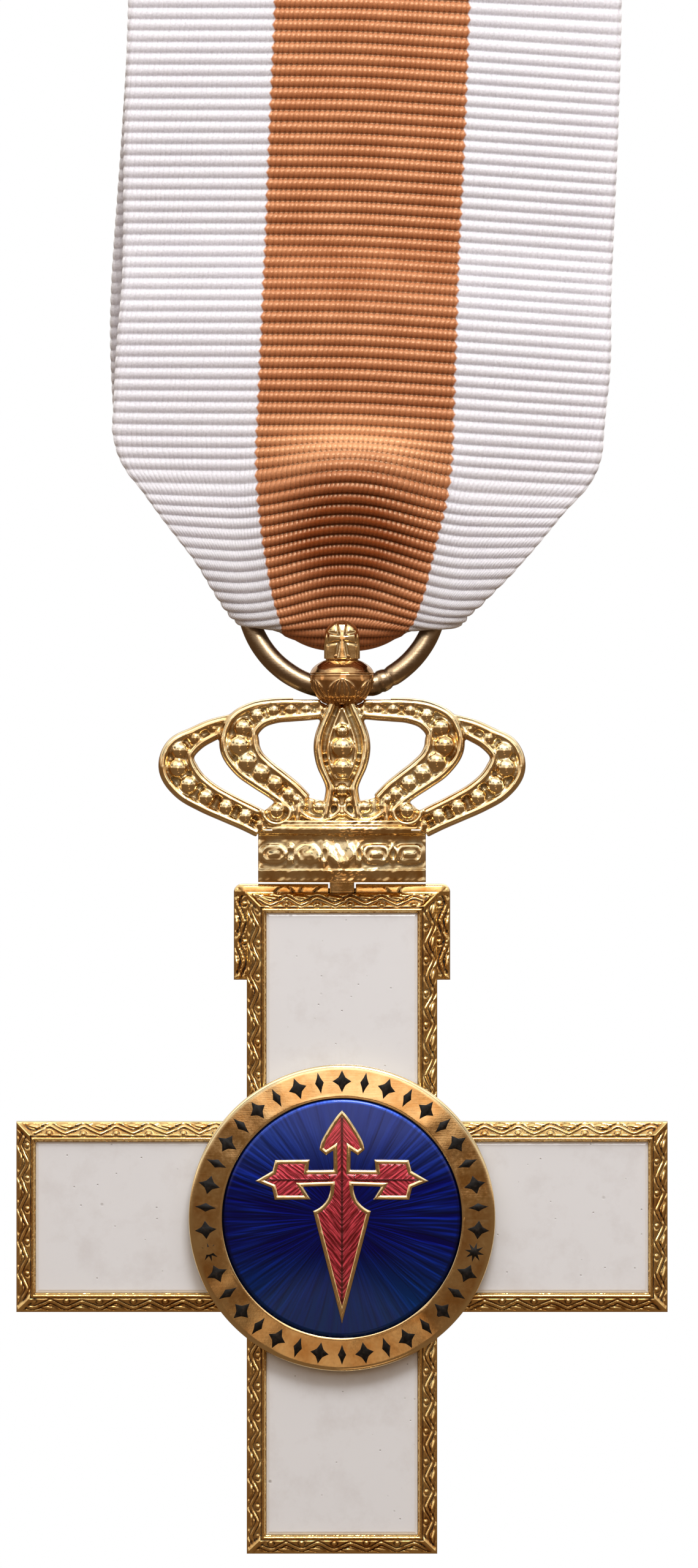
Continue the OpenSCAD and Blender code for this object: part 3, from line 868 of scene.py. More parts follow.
rings = np.stack([inset_corners(CROSS, inset) for inset in SECTION[:, 0]], 1)
sides = []
for number, (first, last) in enumerate(zip(rings, np.roll(rings, -1, 0))):
    length = math.dist(CROSS[number], CROSS[(number + 1) % len(CROSS)])
    count = round(length / STATION)
    t = np.arange(count)[:, None, None] / count
    flat = first + (last - first) * t
    direction = (last[0] - first[0]) / np.linalg.norm(last[0] - first[0])
    along = (flat - (first[0] + last[0]) / 2) @ direction
    to_end = (np.minimum(t, 1 - t)[..., 0] * np.linalg.norm(last - first, axis=1))[:, CUT_COLUMNS]
    period = (length - 2 * CORNER_FREE) / round((length - 2 * CORNER_FREE) / WAVE)
    height = engraving(along[:, CUT_COLUMNS], share, period, SLOPE_WIDTH, 10 * number)
    # A smooth leaf lies over each mitre
    leaf = 0.07 * bell(to_end, 0.16) - 0.06 * bell(to_end - 0.34, 0.09)
    depth = np.tile(SECTION[:, 1], (count, 1))
    depth[:, CUT_COLUMNS] -= CUT_DEPTH * (height * ((to_end - 0.15) / 0.35).clip(0, 1) + leaf)
    sides.append((flat, along, depth))
flat, along, depth = (np.concatenate(part) for part in zip(*sides))
depth[:, len(OUTER_SIDE):-3] += 0.012 * wander(along[:, :1], 6, 3)
rough_line = np.random.default_rng(5).random((len(depth), 4))
depth[:, ROUGH_COLUMNS] += 0.05 * (rough_line - 0.5)
frame_points = np.stack([flat[..., 0], depth, flat[..., 1]], -1)
frame_faces = grid_faces(*depth.shape, close_rows=True, capped=True)
print(len(depth), "stations round the cross")

# %% The boss under the medallion, and the slot of the hinge
BOSS = 6.4
SEAT = -1.14
HINGE = (0.35, 20.0)
SLOT_HALF = 0.85
SLOT_TOP = 22
RELIEF = (6, 0.035)


def slot_cutter(foot, front):
    """Block that cuts the slot from one height up, and from one depth to behind the piece."""
    corners = [(-SLOT_HALF, foot), (SLOT_HALF, foot), (SLOT_HALF, SLOT_TOP), (-SLOT_HALF, SLOT_TOP)]
    return plate(corners, front, 2)


slot_cutters = [slot_cutter(19.35, -0.35), slot_cutter(19.93, -3)]
cross_parts = [(frame_points, frame_faces), plate(circle(BOSS, 64), SEAT, -0.1)]
cross_mesh = cut(make_mesh("engraved_cross", *joined(cross_parts)), slot_cutters)
finish_piece(cross_mesh, engraved_gilt, "cross", ["cross_body"], RELIEF)

# %% [markdown]
# ## The hinge plate
#
# Behind the upper arm lies a wider plate that carries the hinge. Its sides show beside the arm, with a
# larger zigzag on a stippled ground, and its top is a plain bright bevel with a few stray strokes. It is a
# height field: a flat grid whose depth follows from the distance to the edge and from the engraving.

# %% Hinge plate
PLATE_HALF = 6.65
PLATE_TOP = cross_high[2]
PLATE_BOTTOM = PLATE_TOP - 5.9
PLATE_BACK = 1.04
TOP_STRIP = 0.56
# Place and slant of each stray stroke
STROKES = [(-3.9, 0.9), (-3.2, -0.7), (-2.5, 0.3), (-1.5, 0.8), (2.7, -0.8), (3.6, 0.4)]
ROUNDING = 0.5

strip = PLATE_HALF - ARM
side_columns = np.arange(0, strip + 0.2, 0.055) - PLATE_HALF
x = np.concatenate([side_columns, np.arange(-ARM + 0.3, ARM - 0.2, 0.09), -side_columns[::-1]])
shown_rows = np.arange(UPPER - 0.15, PLATE_TOP, 0.05)
z = np.concatenate([np.arange(PLATE_BOTTOM, UPPER - 0.2, 0.065), shown_rows, [PLATE_TOP]])
x, z = np.meshgrid(x, z, indexing="ij")
to_side = PLATE_HALF - np.abs(x)
to_top = PLATE_TOP - z
to_edge = np.minimum(np.minimum(to_side, to_top), z - PLATE_BOTTOM)
bevel = 0.3 * (1 - (to_edge / 0.12).clip(0, 1)) ** 2
y = -0.02 - 0.26 * (to_side / strip).clip(0, 1) + bevel
cut_height = 1.4 * engraving(z - 17.5, to_side / strip, 2.45, strip, 77)
stipple = -0.09 * np.random.default_rng(8).random(x.shape) ** 3
inside = ((to_side - 0.06) / 0.08).clip(0, 1) * ((strip - to_side) / 0.05).clip(0, 1)
y -= (cut_height + stipple) * inside * ((to_top - TOP_STRIP - 0.08) / 0.1).clip(0, 1)
on_strip = to_top < TOP_STRIP
corner = 0.16 * bell(to_side - 0.1, 0.25)
y = np.where(on_strip, -0.24 + 0.07 * (1 - to_top / TOP_STRIP) ** 2 + corner + bevel, y)
for place, slant in STROKES:
    y += 0.05 * bell(x - place - slant * (z - UPPER - 0.3), 0.06) * on_strip
# The two upper corners are rounded: squares about the corner's middle become circles
right_of = np.abs(x) - (PLATE_HALF - ROUNDING)
above = z - (PLATE_TOP - ROUNDING)
in_corner = (right_of > 0) & (above > 0)
shrink = np.maximum(right_of, above) / np.hypot(right_of, above).clip(0.001)
x = np.where(in_corner, np.sign(x) * (PLATE_HALF - ROUNDING + right_of * shrink), x)
z = np.where(in_corner, PLATE_TOP - ROUNDING + above * shrink, z)
plate_mesh = cut(make_mesh("hinge_plate", *backed(np.stack([x, y, z], -1), PLATE_BACK)), slot_cutters)
finish_piece(plate_mesh, engraved_gilt, "cross", hollows=RELIEF)

# %% [markdown]
# ## The medallion
#
# The medallion is a gilt disc with a polished band, slightly conical, round a field of enamel. The raised
# edge of the sword cross keeps the red from the blue. The band carries plain ornaments and two small stars,
# filled with black. The disc is turned: one section goes round the middle.

# %% Band
BAND = (7.37, 9.2)
BAND_DEPTH = (-2.03, -1.88)
TURNS = 420


def band_depth(far):
    """Face of the band at a distance from the middle."""
    return np.interp(far, BAND, BAND_DEPTH)


def turned(section, turns=TURNS):
    """Disc from a section of (distance from the middle, depth), whose first and last points close it."""
    far, deep = np.transpose(section)
    angle = np.linspace(0, 2 * math.pi, turns, endpoint=False)[:, None]
    points = np.stack([far * np.cos(angle), deep + 0 * angle, far * np.sin(angle)], -1)
    return points, grid_faces(turns, len(section), close_rows=True, capped=True)


points, faces = turned([
    (5.0, SEAT), (9.15, SEAT), (9.32, -1.18), (9.4, -1.3), (9.4, -1.72), (9.37, -1.8), (9.3, -1.85),
    *[(far, band_depth(far)) for far in np.linspace(BAND[1], BAND[0] + 0.02, 14)],
    (7.37, -2.02), (7.35, -1.99), (7.35, -1.6), (7.3, -1.5), (5.0, -1.5),
])
# A polished band is never quite true: it swells and dips a few hundredths of a millimetre
angle = np.linspace(0, 2 * math.pi, TURNS, endpoint=False)[:, None]
on_face = (np.hypot(points[..., 0], points[..., 2]) > 7.4) & (points[..., 1] < -1.7)
points[..., 1] += 0.02 * wander(angle * 8, 9, 21) * on_face
finish_piece(make_mesh("medallion_band", points, faces), polished_gilt, "cross", ["medallion"], (5, 0.05))

# %% [markdown]
# The outline of the sword cross is a list of its few corners for one half, with the sides of the guard and
# of the head as curves, and the other half is its mirror image.

# %% Outline of the sword cross
GUARD = arc((-2.3, 1.95), (1.59, 1.59), -71, 1, 10)
HEAD = smooth_rows([(-1.4, 4.2), (-1.26, 4.75), (-1.0, 5.25), (-0.66, 5.8), (-0.3, 6.3), (0, 6.62)], 4)
SWORD_HALF = [
    (0, -6.5), *GUARD, (-2.37, 1.92), (-1.9, 1.14), (-4.13, 1.12), (-4.3, 1.85), (-5.33, 2.27),
    (-4.27, 2.9), (-4.1, 3.57), (-1.97, 3.6), (-2.05, 2.95), (-0.53, 2.97), (-0.55, 4.13), (-0.98, 3.84),
    *HEAD,
]
SWORD = [*SWORD_HALF[::-1], *[(-a, b) for a, b in SWORD_HALF[1:-1]]]
WALL = 0.28
FIELD_EDGE = -1.93
FIELD_CROWN = 0.24


def field_depth(far):
    """Face of the blue glass, which is a shallow dome."""
    return FIELD_EDGE - FIELD_CROWN * (1 - (far / BAND[0]) ** 2)


print(len(SWORD), "corners round the sword cross")

# %% Raised edge of the sword cross
# Distance inwards from the outline, and height behind or before the glass
RIM_ROWS = [
    (0, 0.35), (0, -0.01), (0.03, -0.05), (0.08, -0.08), (0.14, -0.09), (0.2, -0.08), (0.25, -0.05),
    (WALL, -0.01), (WALL, 0.35),
]
RIM_STEP = 0.09

counts = [max(1, round(math.dist(a, b) / RIM_STEP)) for a, b in zip(SWORD, SWORD[1:] + SWORD[:1])]
rings = []
for inset, rise in RIM_ROWS:
    corners = inset_corners(SWORD, inset)
    ring = np.concatenate([
        a + (b - a) * np.arange(count)[:, None] / count
        for a, b, count in zip(corners, np.roll(corners, -1, 0), counts)
    ])
    wobble = 0.012 * wander(np.arange(len(ring)) * RIM_STEP, 3, 30) * (rise < 0.3)
    rings.append(np.insert(ring, 1, field_depth(np.hypot(*ring.T)) + rise + wobble, axis=1))
faces = grid_faces(len(ring), len(RIM_ROWS), close_rows=True, close_columns=True)
rim_mesh = make_mesh("sword_rim", np.stack(rings, 1), faces)
finish_piece(rim_mesh, polished_gilt, "cross", hollows=(4, 0.04))

# %% Blue field and red sword
FIELD_REACH = BAND[0] - 0.04


def lens(name, lift):
    """Shallow dome of glass over the whole field."""
    face = [(far, field_depth(far) - lift) for far in np.linspace(FIELD_REACH, 0.5, 24)]
    return make_mesh(name, *turned([(FIELD_REACH, -1.52), *face], 180))


finish_piece(lens("blue_field", 0), blue_enamel, "cross", ["blue_enamel"])
sword_cutter = plate(inset_corners(SWORD, WALL - 0.06), -3, -1.6)
finish_piece(cut(lens("red_sword", 0.03), [sword_cutter], "INTERSECT"), red_enamel, "cross", ["red_enamel"])

# %% Ornaments of the band
STAR_ANGLE = 14.5
MARK_RADIUS = 8.38
MARKS_UP = 21
MARKS_DOWN = 15
# Size and depth of each ring of a filling, from inside the band to its face
FILLING_RINGS = ((1, 0.15), (1, -0.004), (0.9375, -0.014))


def four_fold(*quarter):
    """Outline from its points between the right side and the top, with all their mirror images."""
    half = [*quarter, *[(-a, b) for a, b in quarter[-2::-1]]]
    return [*half, *[(a, -b) for a, b in half[-2:0:-1]]]


def on_band(outline, degrees):
    """Closed black filling on the conical band, at an angle from the right."""
    turn = math.radians(degrees)
    out = np.array([math.cos(turn), math.sin(turn)])
    side = np.array([out[1], -out[0]])
    aside, outwards = np.hsplit(np.array(outline), 2)
    flat = out * (MARK_RADIUS + outwards) + side * aside
    middle = flat.mean(0)
    rings = []
    for size, rise in FILLING_RINGS:
        ring = middle + (flat - middle) * size
        rings.append(np.insert(ring, 1, band_depth(np.hypot(*ring.T)) + rise, axis=1))
    return np.vstack(rings), tube_faces(len(rings), len(outline))


STAR = circle(0.62, 16) * np.tile([1, 0.4], 8)[:, None]
WIDE = four_fold((0.58, 0), (0.36, 0.14), (0.22, 0.24), (0.14, 0.38), (0, 0.68))
SLIM = four_fold((0.27, 0), (0.12, 0.3), (0, 0.66))
marks = [on_band(STAR, side) for side in (-STAR_ANGLE, 180 + STAR_ANGLE)]
for count, start, span in (
    (MARKS_UP, -STAR_ANGLE, 180 + 2 * STAR_ANGLE), (MARKS_DOWN, 180 + STAR_ANGLE, 180 - 2 * STAR_ANGLE),
):
    for i in range(1, count + 1):
        marks.append(on_band(WIDE if i % 2 else SLIM, start + span * i / (count + 1)))
finish_piece(make_mesh("band_ornaments", *joined(marks)), black_enamel, "cross", ["black_enamel"])

# %% [markdown]
# ## The crown
#
# The crown is a casting with soft edges, made in a few parts here. The arches are flat troughs between two
# smooth rims, with a row of beads in each trough, and they spring from a low block of scrolls. Everything
# in them overlaps and is melted into one skin. One half is drawn from tables, and the other is its mirror
# image, a little uneven because the beads were touched up by hand.

# %% Arches and leaf
# Each row is a bead: across, up and the half width of the arch there
INNER_ARCH = [
    (-1.3, 31.25, 0.66), (-2.17, 31.2, 0.7), (-3.1, 31.17, 0.74), (-4.16, 31.1, 0.78), (-5.22, 30.82, 0.9),
    (-6.1, 30.1, 1.12), (-6.3, 28.98, 1.24), (-5.78, 27.95, 1.1), (-4.94, 27.22, 1.0), (-4.1, 26.62, 0.95),
    (-3.3, 26.0, 0.92), (-2.6, 25.3, 0.9),
]
OUTER_ARCH = [
    (-6.35, 30.58, 0.42), (-7.85, 29.98, 0.66), (-9.0, 29.4, 0.74), (-9.93, 28.66, 1.0),
    (-10.1, 27.62, 1.18), (-9.45, 26.6, 1.12), (-8.35, 25.8, 0.98), (-7.1, 25.16, 0.9), (-5.9, 24.6, 0.86),
    (-4.9, 24.1, 0.85),
]
LEAF = [
    (0, 31.75, 0.8), (0, 30.9, 1.15), (0, 30.3, 1.42), (0, 29.6, 1.66), (0, 28.88, 1.75), (0, 28.2, 1.68),
    (0, 27.55, 1.5), (0, 26.9, 1.2), (0, 26.4, 1.02), (0, 25.9, 1.05), (0, 24.6, 1.3),
]
# The raised almond that fills the leaf's middle, with a groove between it and the rims
ALMOND = [
    (0, 31.35, 0.12), (0, 30.6, 0.42), (0, 29.8, 0.72), (0, 28.88, 0.93), (0, 28.1, 0.88), (0, 27.4, 0.68),
    (0, 26.9, 0.42),
]
LEAF_BEADS = [(29.84, 0.44), (28.84, 0.7), (27.64, 0.6)]
OUTER_FRONT = -0.42
INNER_FRONT = -0.66
LEAF_FRONT = -0.9
CROWN_BACK = 0.72
BEAD_SHARE = 0.59


def trough(line, front):
    """Closed plate along a line of (across, up, half width), with a sunk floor."""
    return bar(line, [[
        (-half, front + 0.35), (-half + 0.1, front + 0.2), (half - 0.1, front + 0.2), (half, front + 0.35),
        (half, CROWN_BACK - 0.3), (half - 0.3, CROWN_BACK), (-half + 0.3, CROWN_BACK),
        (-half, CROWN_BACK - 0.3),
    ] for half in line[:, 2]])


def rims(line, half_width, half_depth, gap, depth):
    """A round wire along both sides of a line, a gap inside its width."""
    aside = line[:, 2] - half_width - gap
    return [
        bar(line, [oval(half_width, half_depth, (side * place, depth)) for place in aside])
        for side in (-1, 1)
    ]


def large_bead(across, deep, up, size, depth):
    """Ball that is fine enough for a bead that shows."""
    return ball((across, deep, up), (size, depth, size), 14, 22)


def arch(rows, front):
    """One trough with two rims and its beads. front is the depth of the trough's floor."""
    line = smooth_rows(rows, 7)
    parts = [trough(line, front), *rims(line, 0.27, 0.4, 0.02, front + 0.1)]
    for number, (across, up, half) in enumerate(rows):
        size = BEAD_SHARE * half * (1 + 0.07 * math.sin(7.3 * number))
        aside = 0.03 * math.sin(5.1 * number + 1)
        parts.append(large_bead(across + aside, front + 0.12, up - aside, size, 0.95 * size))
    return parts


def mirrored(parts):
    """The parts with their mirror images."""
    return parts + [(np.array(points) * (-1, 1, 1), faces) for points, faces in parts]


leaf_line = smooth_rows(LEAF, 5)
almond_line = smooth_rows(ALMOND, 6)
crown_parts = [
    *mirrored(arch(OUTER_ARCH, OUTER_FRONT)), *mirrored(arch(INNER_ARCH, INNER_FRONT)),
    trough(smooth_rows(LEAF, 7), LEAF_FRONT + 0.14), *rims(leaf_line, 0.28, 0.38, 0.03, LEAF_FRONT + 0.2),
    bar(almond_line, [oval(half, 0.2, (0, LEAF_FRONT + 0.16)) for half in almond_line[:, 2]]),
    *rims(almond_line, 0.14, 0.32, -0.04, LEAF_FRONT + 0.14),
    *[large_bead(0.02, LEAF_FRONT + 0.04, up, size, 0.52) for up, size in LEAF_BEADS],
]
print(len(crown_parts), "parts in the arches")

# %% Scrolls under the arches
FLEURON_BEADS = [(-4.0, 24.95, 0.5), (-1.41, 25.2, 0.42), (-2.75, 25.62, 0.32)]
TREFOIL = [(0, 26.25, 0.4), (-0.42, 25.55, 0.3), (0.42, 25.55, 0.3), (0, 24.85, 0.26)]
# Middle, half width and sag of each swag
SWAGS = [(-4.0, 24.95, 0.86, 0.8), (-1.37, 25.25, 1.24, 0.84)]
KNOT = [(-2.72, 25.3), (-2.72, 24.6), (-2.72, 23.95)]
RING_BORE = (0.03, 32.46, 0.86)
# The front of the casting looks up a little, so it catches the bright half of the tent
LOOKS_UP = 0.08
LOOK_LEVEL = 27.5

shoulder = [(4.7, 25.0), (4.3, 25.35), (3.3, 25.8), (2.1, 25.75)]
hollow_way = arc((0, 26.1), (1.2, 1.2), math.degrees(1.1) - 90, -math.degrees(1.1) - 90, 9)
block = [(-4.95, 23.6), (4.95, 23.6), *shoulder, *hollow_way, *[(-a, b) for a, b in shoulder[::-1]]]
swags = [
    bar(arc((across, up), (half, sag), 176, 364, 22), oval(0.18, 0.32, (0, -0.7)))
    for across, up, half, sag in SWAGS
]
crown_parts += [
    plate(block, -0.62, CROWN_BACK),
    *mirrored([ball((a, -0.75, b), (r, 0.9 * r, r)) for a, b, r in FLEURON_BEADS]),
    *mirrored([*swags, bar(smooth_rows(KNOT, 4), oval(0.2, 0.3, (0, -0.72)))]),
    *[ball((a, -0.78, b), (r, 0.85 * r, r)) for a, b, r in TREFOIL],
    bar([(-4.9, 23.75), (0, 23.75), (4.9, 23.75)], oval(0.14, 0.26, (0, -0.66))),
]
# The hole for the ring goes from side to side and has flared mouths
ring_bore = [round_bar((-3, 3), *RING_BORE, 40)]
ring_bore += [ball((side, 0.2, RING_BORE[1] + 0.24), 1.0, 20, 32) for side in (-1.75, 1.75)]


def looking_up(points):
    """The points with those in front leaned back above one height and forward below it."""
    in_front = (-points[:, 1] / 0.66).clip(0, 1)
    return points + np.outer(LOOKS_UP * in_front * (points[:, 2] - LOOK_LEVEL), (0, 1, 0))


leaned = [(looking_up(points), faces) for points, faces in crown_parts]
arches_mesh = cut(melted("crown_arches", leaned, 0.078), ring_bore)
finish_piece(arches_mesh, cast_gilt, "crown_casting", ["crown"], (10, 0.08))

# %% [markdown]
# The circlet below is bowed forward and carries jewels: oval stones in raised settings, with pairs of small
# balls between them. Years of rubbing wore its middle smooth, so the relief is weaker there.

# %% Circlet
CIRCLET_HALF = 5.15
CIRCLET_SIDE = -0.45
CIRCLET_MIDDLE = -1.85
# Height and how far it stands forward, from the bottom to the top
CIRCLET_PROFILE = [
    (20.72, -0.45), (20.7, -0.1), (20.62, 0.0), (20.57, 0.05), (20.64, 0.1), (20.9, 0.09), (21.15, 0.14),
    (21.33, 0.13), (21.45, 0.03), (22.3, 0.07), (23.1, -0.09), (23.3, -0.06), (23.45, 0.04), (23.6, 0.2),
    (23.8, 0.26), (23.98, 0.2), (24.1, 0.06), (24.35, 0.0), (24.35, -0.35),
]
# Place of each jewel and of each pair of balls, and how much of its relief is kept
JEWELS = [(-4.2, 0.6), (-2.05, 0.2), (0, 0.15), (2.1, 0.9), (4.15, 1.0)]
PAIRS = [(-3.15, 0.8), (-1.03, 0.25), (1.03, 0.4), (3.12, 0.9)]
JEWEL_UP = 22.3

sag = CIRCLET_SIDE - CIRCLET_MIDDLE
bow = (CIRCLET_HALF ** 2 + sag ** 2) / (2 * sag)
profile = smooth_rows(CIRCLET_PROFILE, 6)
across, up = np.meshgrid(np.linspace(-CIRCLET_HALF, CIRCLET_HALF, 181), profile[:, 0], indexing="ij")
stand = np.tile(profile[:, 1], (len(across), 1))
for place, kept in JEWELS:
    # The stones are oval on the left and squarer on the right
    square = 3.0 if place > 0 else 2.0
    sides = np.abs([(across - place) / 0.86, (up - JEWEL_UP) / 0.58])
    far = (sides ** square).sum(0) ** (1 / square)
    stone = 0.14 * (1 - (far / 0.5) ** 2).clip(0) ** 0.5
    stand += kept * (stone + 0.2 * bell(far - 0.84, 0.16) - 0.1 * bell(far - 1.2, 0.14))
for place, kept in PAIRS:
    for shift in (-0.38, 0.38):
        far = np.hypot(across - place, up - JEWEL_UP - shift)
        stand += kept * 0.22 * (1 - (far / 0.24) ** 2).clip(0) ** 0.5
rubbed = bell(np.hypot((across + 0.4) / 1.7, (up - JEWEL_UP) / 0.9), 1)
stand -= 0.22 * rubbed * (up - JEWEL_UP)
stand += 0.1 * rubbed * wander(across + 0.6 * up, 1.3, 61) + 0.03 * wander(across - up, 2.1, 62)
deep = CIRCLET_MIDDLE + bow - np.sqrt(bow ** 2 - across ** 2) - stand
circlet_mesh = make_mesh("crown_circlet", *backed(np.stack([across, deep, up], -1), CROWN_BACK + 0.02))
finish_piece(circlet_mesh, cast_gilt, "crown_casting", hollows=(10, 0.08))

# %% Knuckle of the hinge
KNUCKLE_HALF = 0.75
KNUCKLE = 0.5
PIN_BORE = 0.25
TAB_TOP = 20.9

foot = HINGE[1]
tab = [(side * KNUCKLE_HALF, up) for side, up in ((-1, foot), (1, foot), (1, TAB_TOP), (-1, TAB_TOP))]
knuckle = round_bar((-KNUCKLE_HALF, KNUCKLE_HALF), *HINGE, KNUCKLE, 40)
knuckle_mesh = melted("hinge_knuckle", [plate(tab, -0.15, CROWN_BACK), knuckle], 0.06)
knuckle_mesh = cut(knuckle_mesh, [round_bar((-2, 2), *HINGE, PIN_BORE, 32)])
finish_piece(knuckle_mesh, cast_gilt, "crown_casting")

# %% [markdown]
# The orb sits on top. It is cast in two halves, with a seam round it and petals engraved below, and it
# carries a pointed finial with a small flared cross. The ring passes through it from side to side.

# %% Orb
# Height and radius, from the bottom to the seam and from the seam to the top
ORB_BELOW = [
    (31.34, 0.02), (31.4, 0.6), (31.6, 1.18), (31.95, 1.68), (32.4, 2.0), (32.84, 2.08), (33.2, 2.06),
]
ORB_ABOVE = [
    (33.2, 2.06), (33.31, 2.05), (33.36, 1.99), (33.41, 2.04), (33.5, 1.98), (33.62, 1.9), (33.78, 1.77),
    (33.92, 1.61), (34.04, 1.43), (34.14, 1.25), (34.2, 1.1), (34.25, 1.01), (34.31, 1.05), (34.44, 1.07),
    (34.53, 1.03), (34.58, 0.9), (34.58, 0.02),
]
ORB_TURNS = 300
PETAL = math.radians(58)
PETAL_FOOT = 31.55
PETAL_TIP = 33.02

profile = np.vstack([smooth_rows(ORB_BELOW, 12), smooth_rows(ORB_ABOVE, 4)[1:]])
up, radius = profile.T
around = np.linspace(-math.pi, math.pi, ORB_TURNS, endpoint=False)[:, None]
# Petals are pointed arches side by side, each with cuts that spread from its foot
share_up = ((up - PETAL_FOOT) / (PETAL_TIP - PETAL_FOOT)).clip(0, 1)
in_petal = (around + PETAL / 2) % PETAL - PETAL / 2
edge = np.abs(in_petal) / (PETAL / 2 * np.sqrt(1 - share_up ** 1.6) + 0.001)
petals = 0.07 * bell(edge - 1, 0.12) + 0.035 * np.cos(2 * math.pi * 2.5 * edge) * (edge < 0.9)
radius = radius + petals * (up < PETAL_TIP + 0.03) * ((up - 31.5) / 0.2).clip(0, 1) - 0.02
orb_points = np.stack([radius * np.sin(around), -radius * np.cos(around), up + 0 * radius], -1)
orb_faces = grid_faces(ORB_TURNS, len(profile), close_rows=True, capped=True)
orb_mesh = cut(make_mesh("crown_orb", orb_points, orb_faces), ring_bore)
finish_piece(orb_mesh, dark_gilt, "crown_casting", hollows=(5, 0.03))

# %% Finial
FINIAL_BACK = -0.2
FINIAL_HALF = (1.1, 0.8)
FINIAL_TOP = 36.66
FINIAL_FOOT = 34.3

rise = np.linspace(0, 1, 56)[:, None]
up = FINIAL_FOOT + (FINIAL_TOP - FINIAL_FOOT) * rise
in_top = ((up - FINIAL_TOP) / FINIAL_HALF[0] + 1).clip(0, 1)
narrow = np.sqrt(1 - in_top ** 2).clip(0.02)
turn = np.linspace(0, math.pi, 90)
across = FINIAL_HALF[0] * narrow * np.cos(turn)
deep = -FINIAL_HALF[1] * narrow ** 0.6 * np.sin(turn) ** 0.75
# The flared cross is a stem and a beam, both wider at their ends
height_in = up - FINIAL_TOP
stem_half = 0.13 + 0.13 * np.abs((height_in + 1.15) / 0.95) ** 1.5
beam_half = 0.17 + 0.09 * (np.abs(across) / 0.8) ** 2
from_stem = np.maximum(np.abs(across) - stem_half, np.abs(height_in + 1.3) - 1.1)
from_beam = np.maximum(np.abs(height_in + 1.1) - beam_half, np.abs(across) - 0.82)
from_cross = np.minimum(from_stem, from_beam)
relief = 0.13 * (0.5 - from_cross / 0.1).clip(0, 1) - 0.06 * bell(from_cross - 0.1, 0.07)
deep = FINIAL_BACK + deep * (1 - 0.12 * rise) - relief * np.sin(turn)
points = np.stack([across, deep, up + 0 * across], -1)
finial_mesh = make_mesh("crown_finial", points, tube_faces(*across.shape))
finish_piece(finial_mesh, cast_gilt, "crown_casting", hollows=(6, 0.03))

# %% [markdown]
# ## The ring
#
# The ring is bent from darkened brass wire and closed with a small joint beside the crown's orb. It leans
# back a little, because the ribbon pulls on it from behind.

# %% Ring
RING = 5.885
WIRE = 0.675
RING_LEAN = math.radians(14)
JOINT_ANGLE = math.radians(-68)
ring_low, ring_high = solid_corners("suspension_ring")

angle = np.linspace(0, 2 * math.pi, 260, endpoint=False)[:, None]
angle = angle + 0.006 * np.sin(9 * angle)
# The joint is a low collar with a groove at both its ends and a seam in its middle
way = (angle - JOINT_ANGLE + math.pi) % (2 * math.pi) - math.pi
collar = 0.05 * np.exp(-(way / 0.1) ** 4) - 0.07 * bell(np.abs(way) - 0.13, 0.018)
collar -= 0.09 * bell(way, 0.012)
thick = WIRE - 0.03 + collar + 0.012 * wander(angle * RING, 7, 51)
turn = np.linspace(0, 2 * math.pi, 28, endpoint=False)
out = RING + 0.02 * np.sin(3 * angle) + thick * np.cos(turn)
deep = thick * np.sin(turn)
up = out * np.sin(angle)
points = np.stack([
    out * np.cos(angle), deep * math.cos(RING_LEAN) + up * math.sin(RING_LEAN),
    up * math.cos(RING_LEAN) - deep * math.sin(RING_LEAN),
], -1) + (ring_low + ring_high) / 2
ring_mesh = make_mesh("ring_wire", points, grid_faces(*out.shape, close_rows=True, close_columns=True))
finish_piece(ring_mesh, antique_brass, "hanger", ["suspension_ring"], (5, 0.03))

# %% [markdown]
# ## The ribbon
#
# The ribbon is 30 mm rayon with thick cords across it, under a close cover of fine threads along it. White
# runs at both sides of an orange-brown middle stripe. It is folded round the bar of the pin above, runs
# down the front, is gathered through the ring and goes up the back. A simulation would find some fold, but
# the photograph shows one exact fold, so the cloth is modelled from a table of sections along its loop, and
# the cords are real geometry, spaced as measured.

# %% Ribbon cloth
RIB = 0.695
THREAD = 0.316
STRIPE_HALF = 6.0
RIBBON_HALF = 15.0
# Distances along the loop, from the top, to the hollow above the ring and to the crest over it
HOLLOW_AT = 41.7
CREST_AT = 35.4


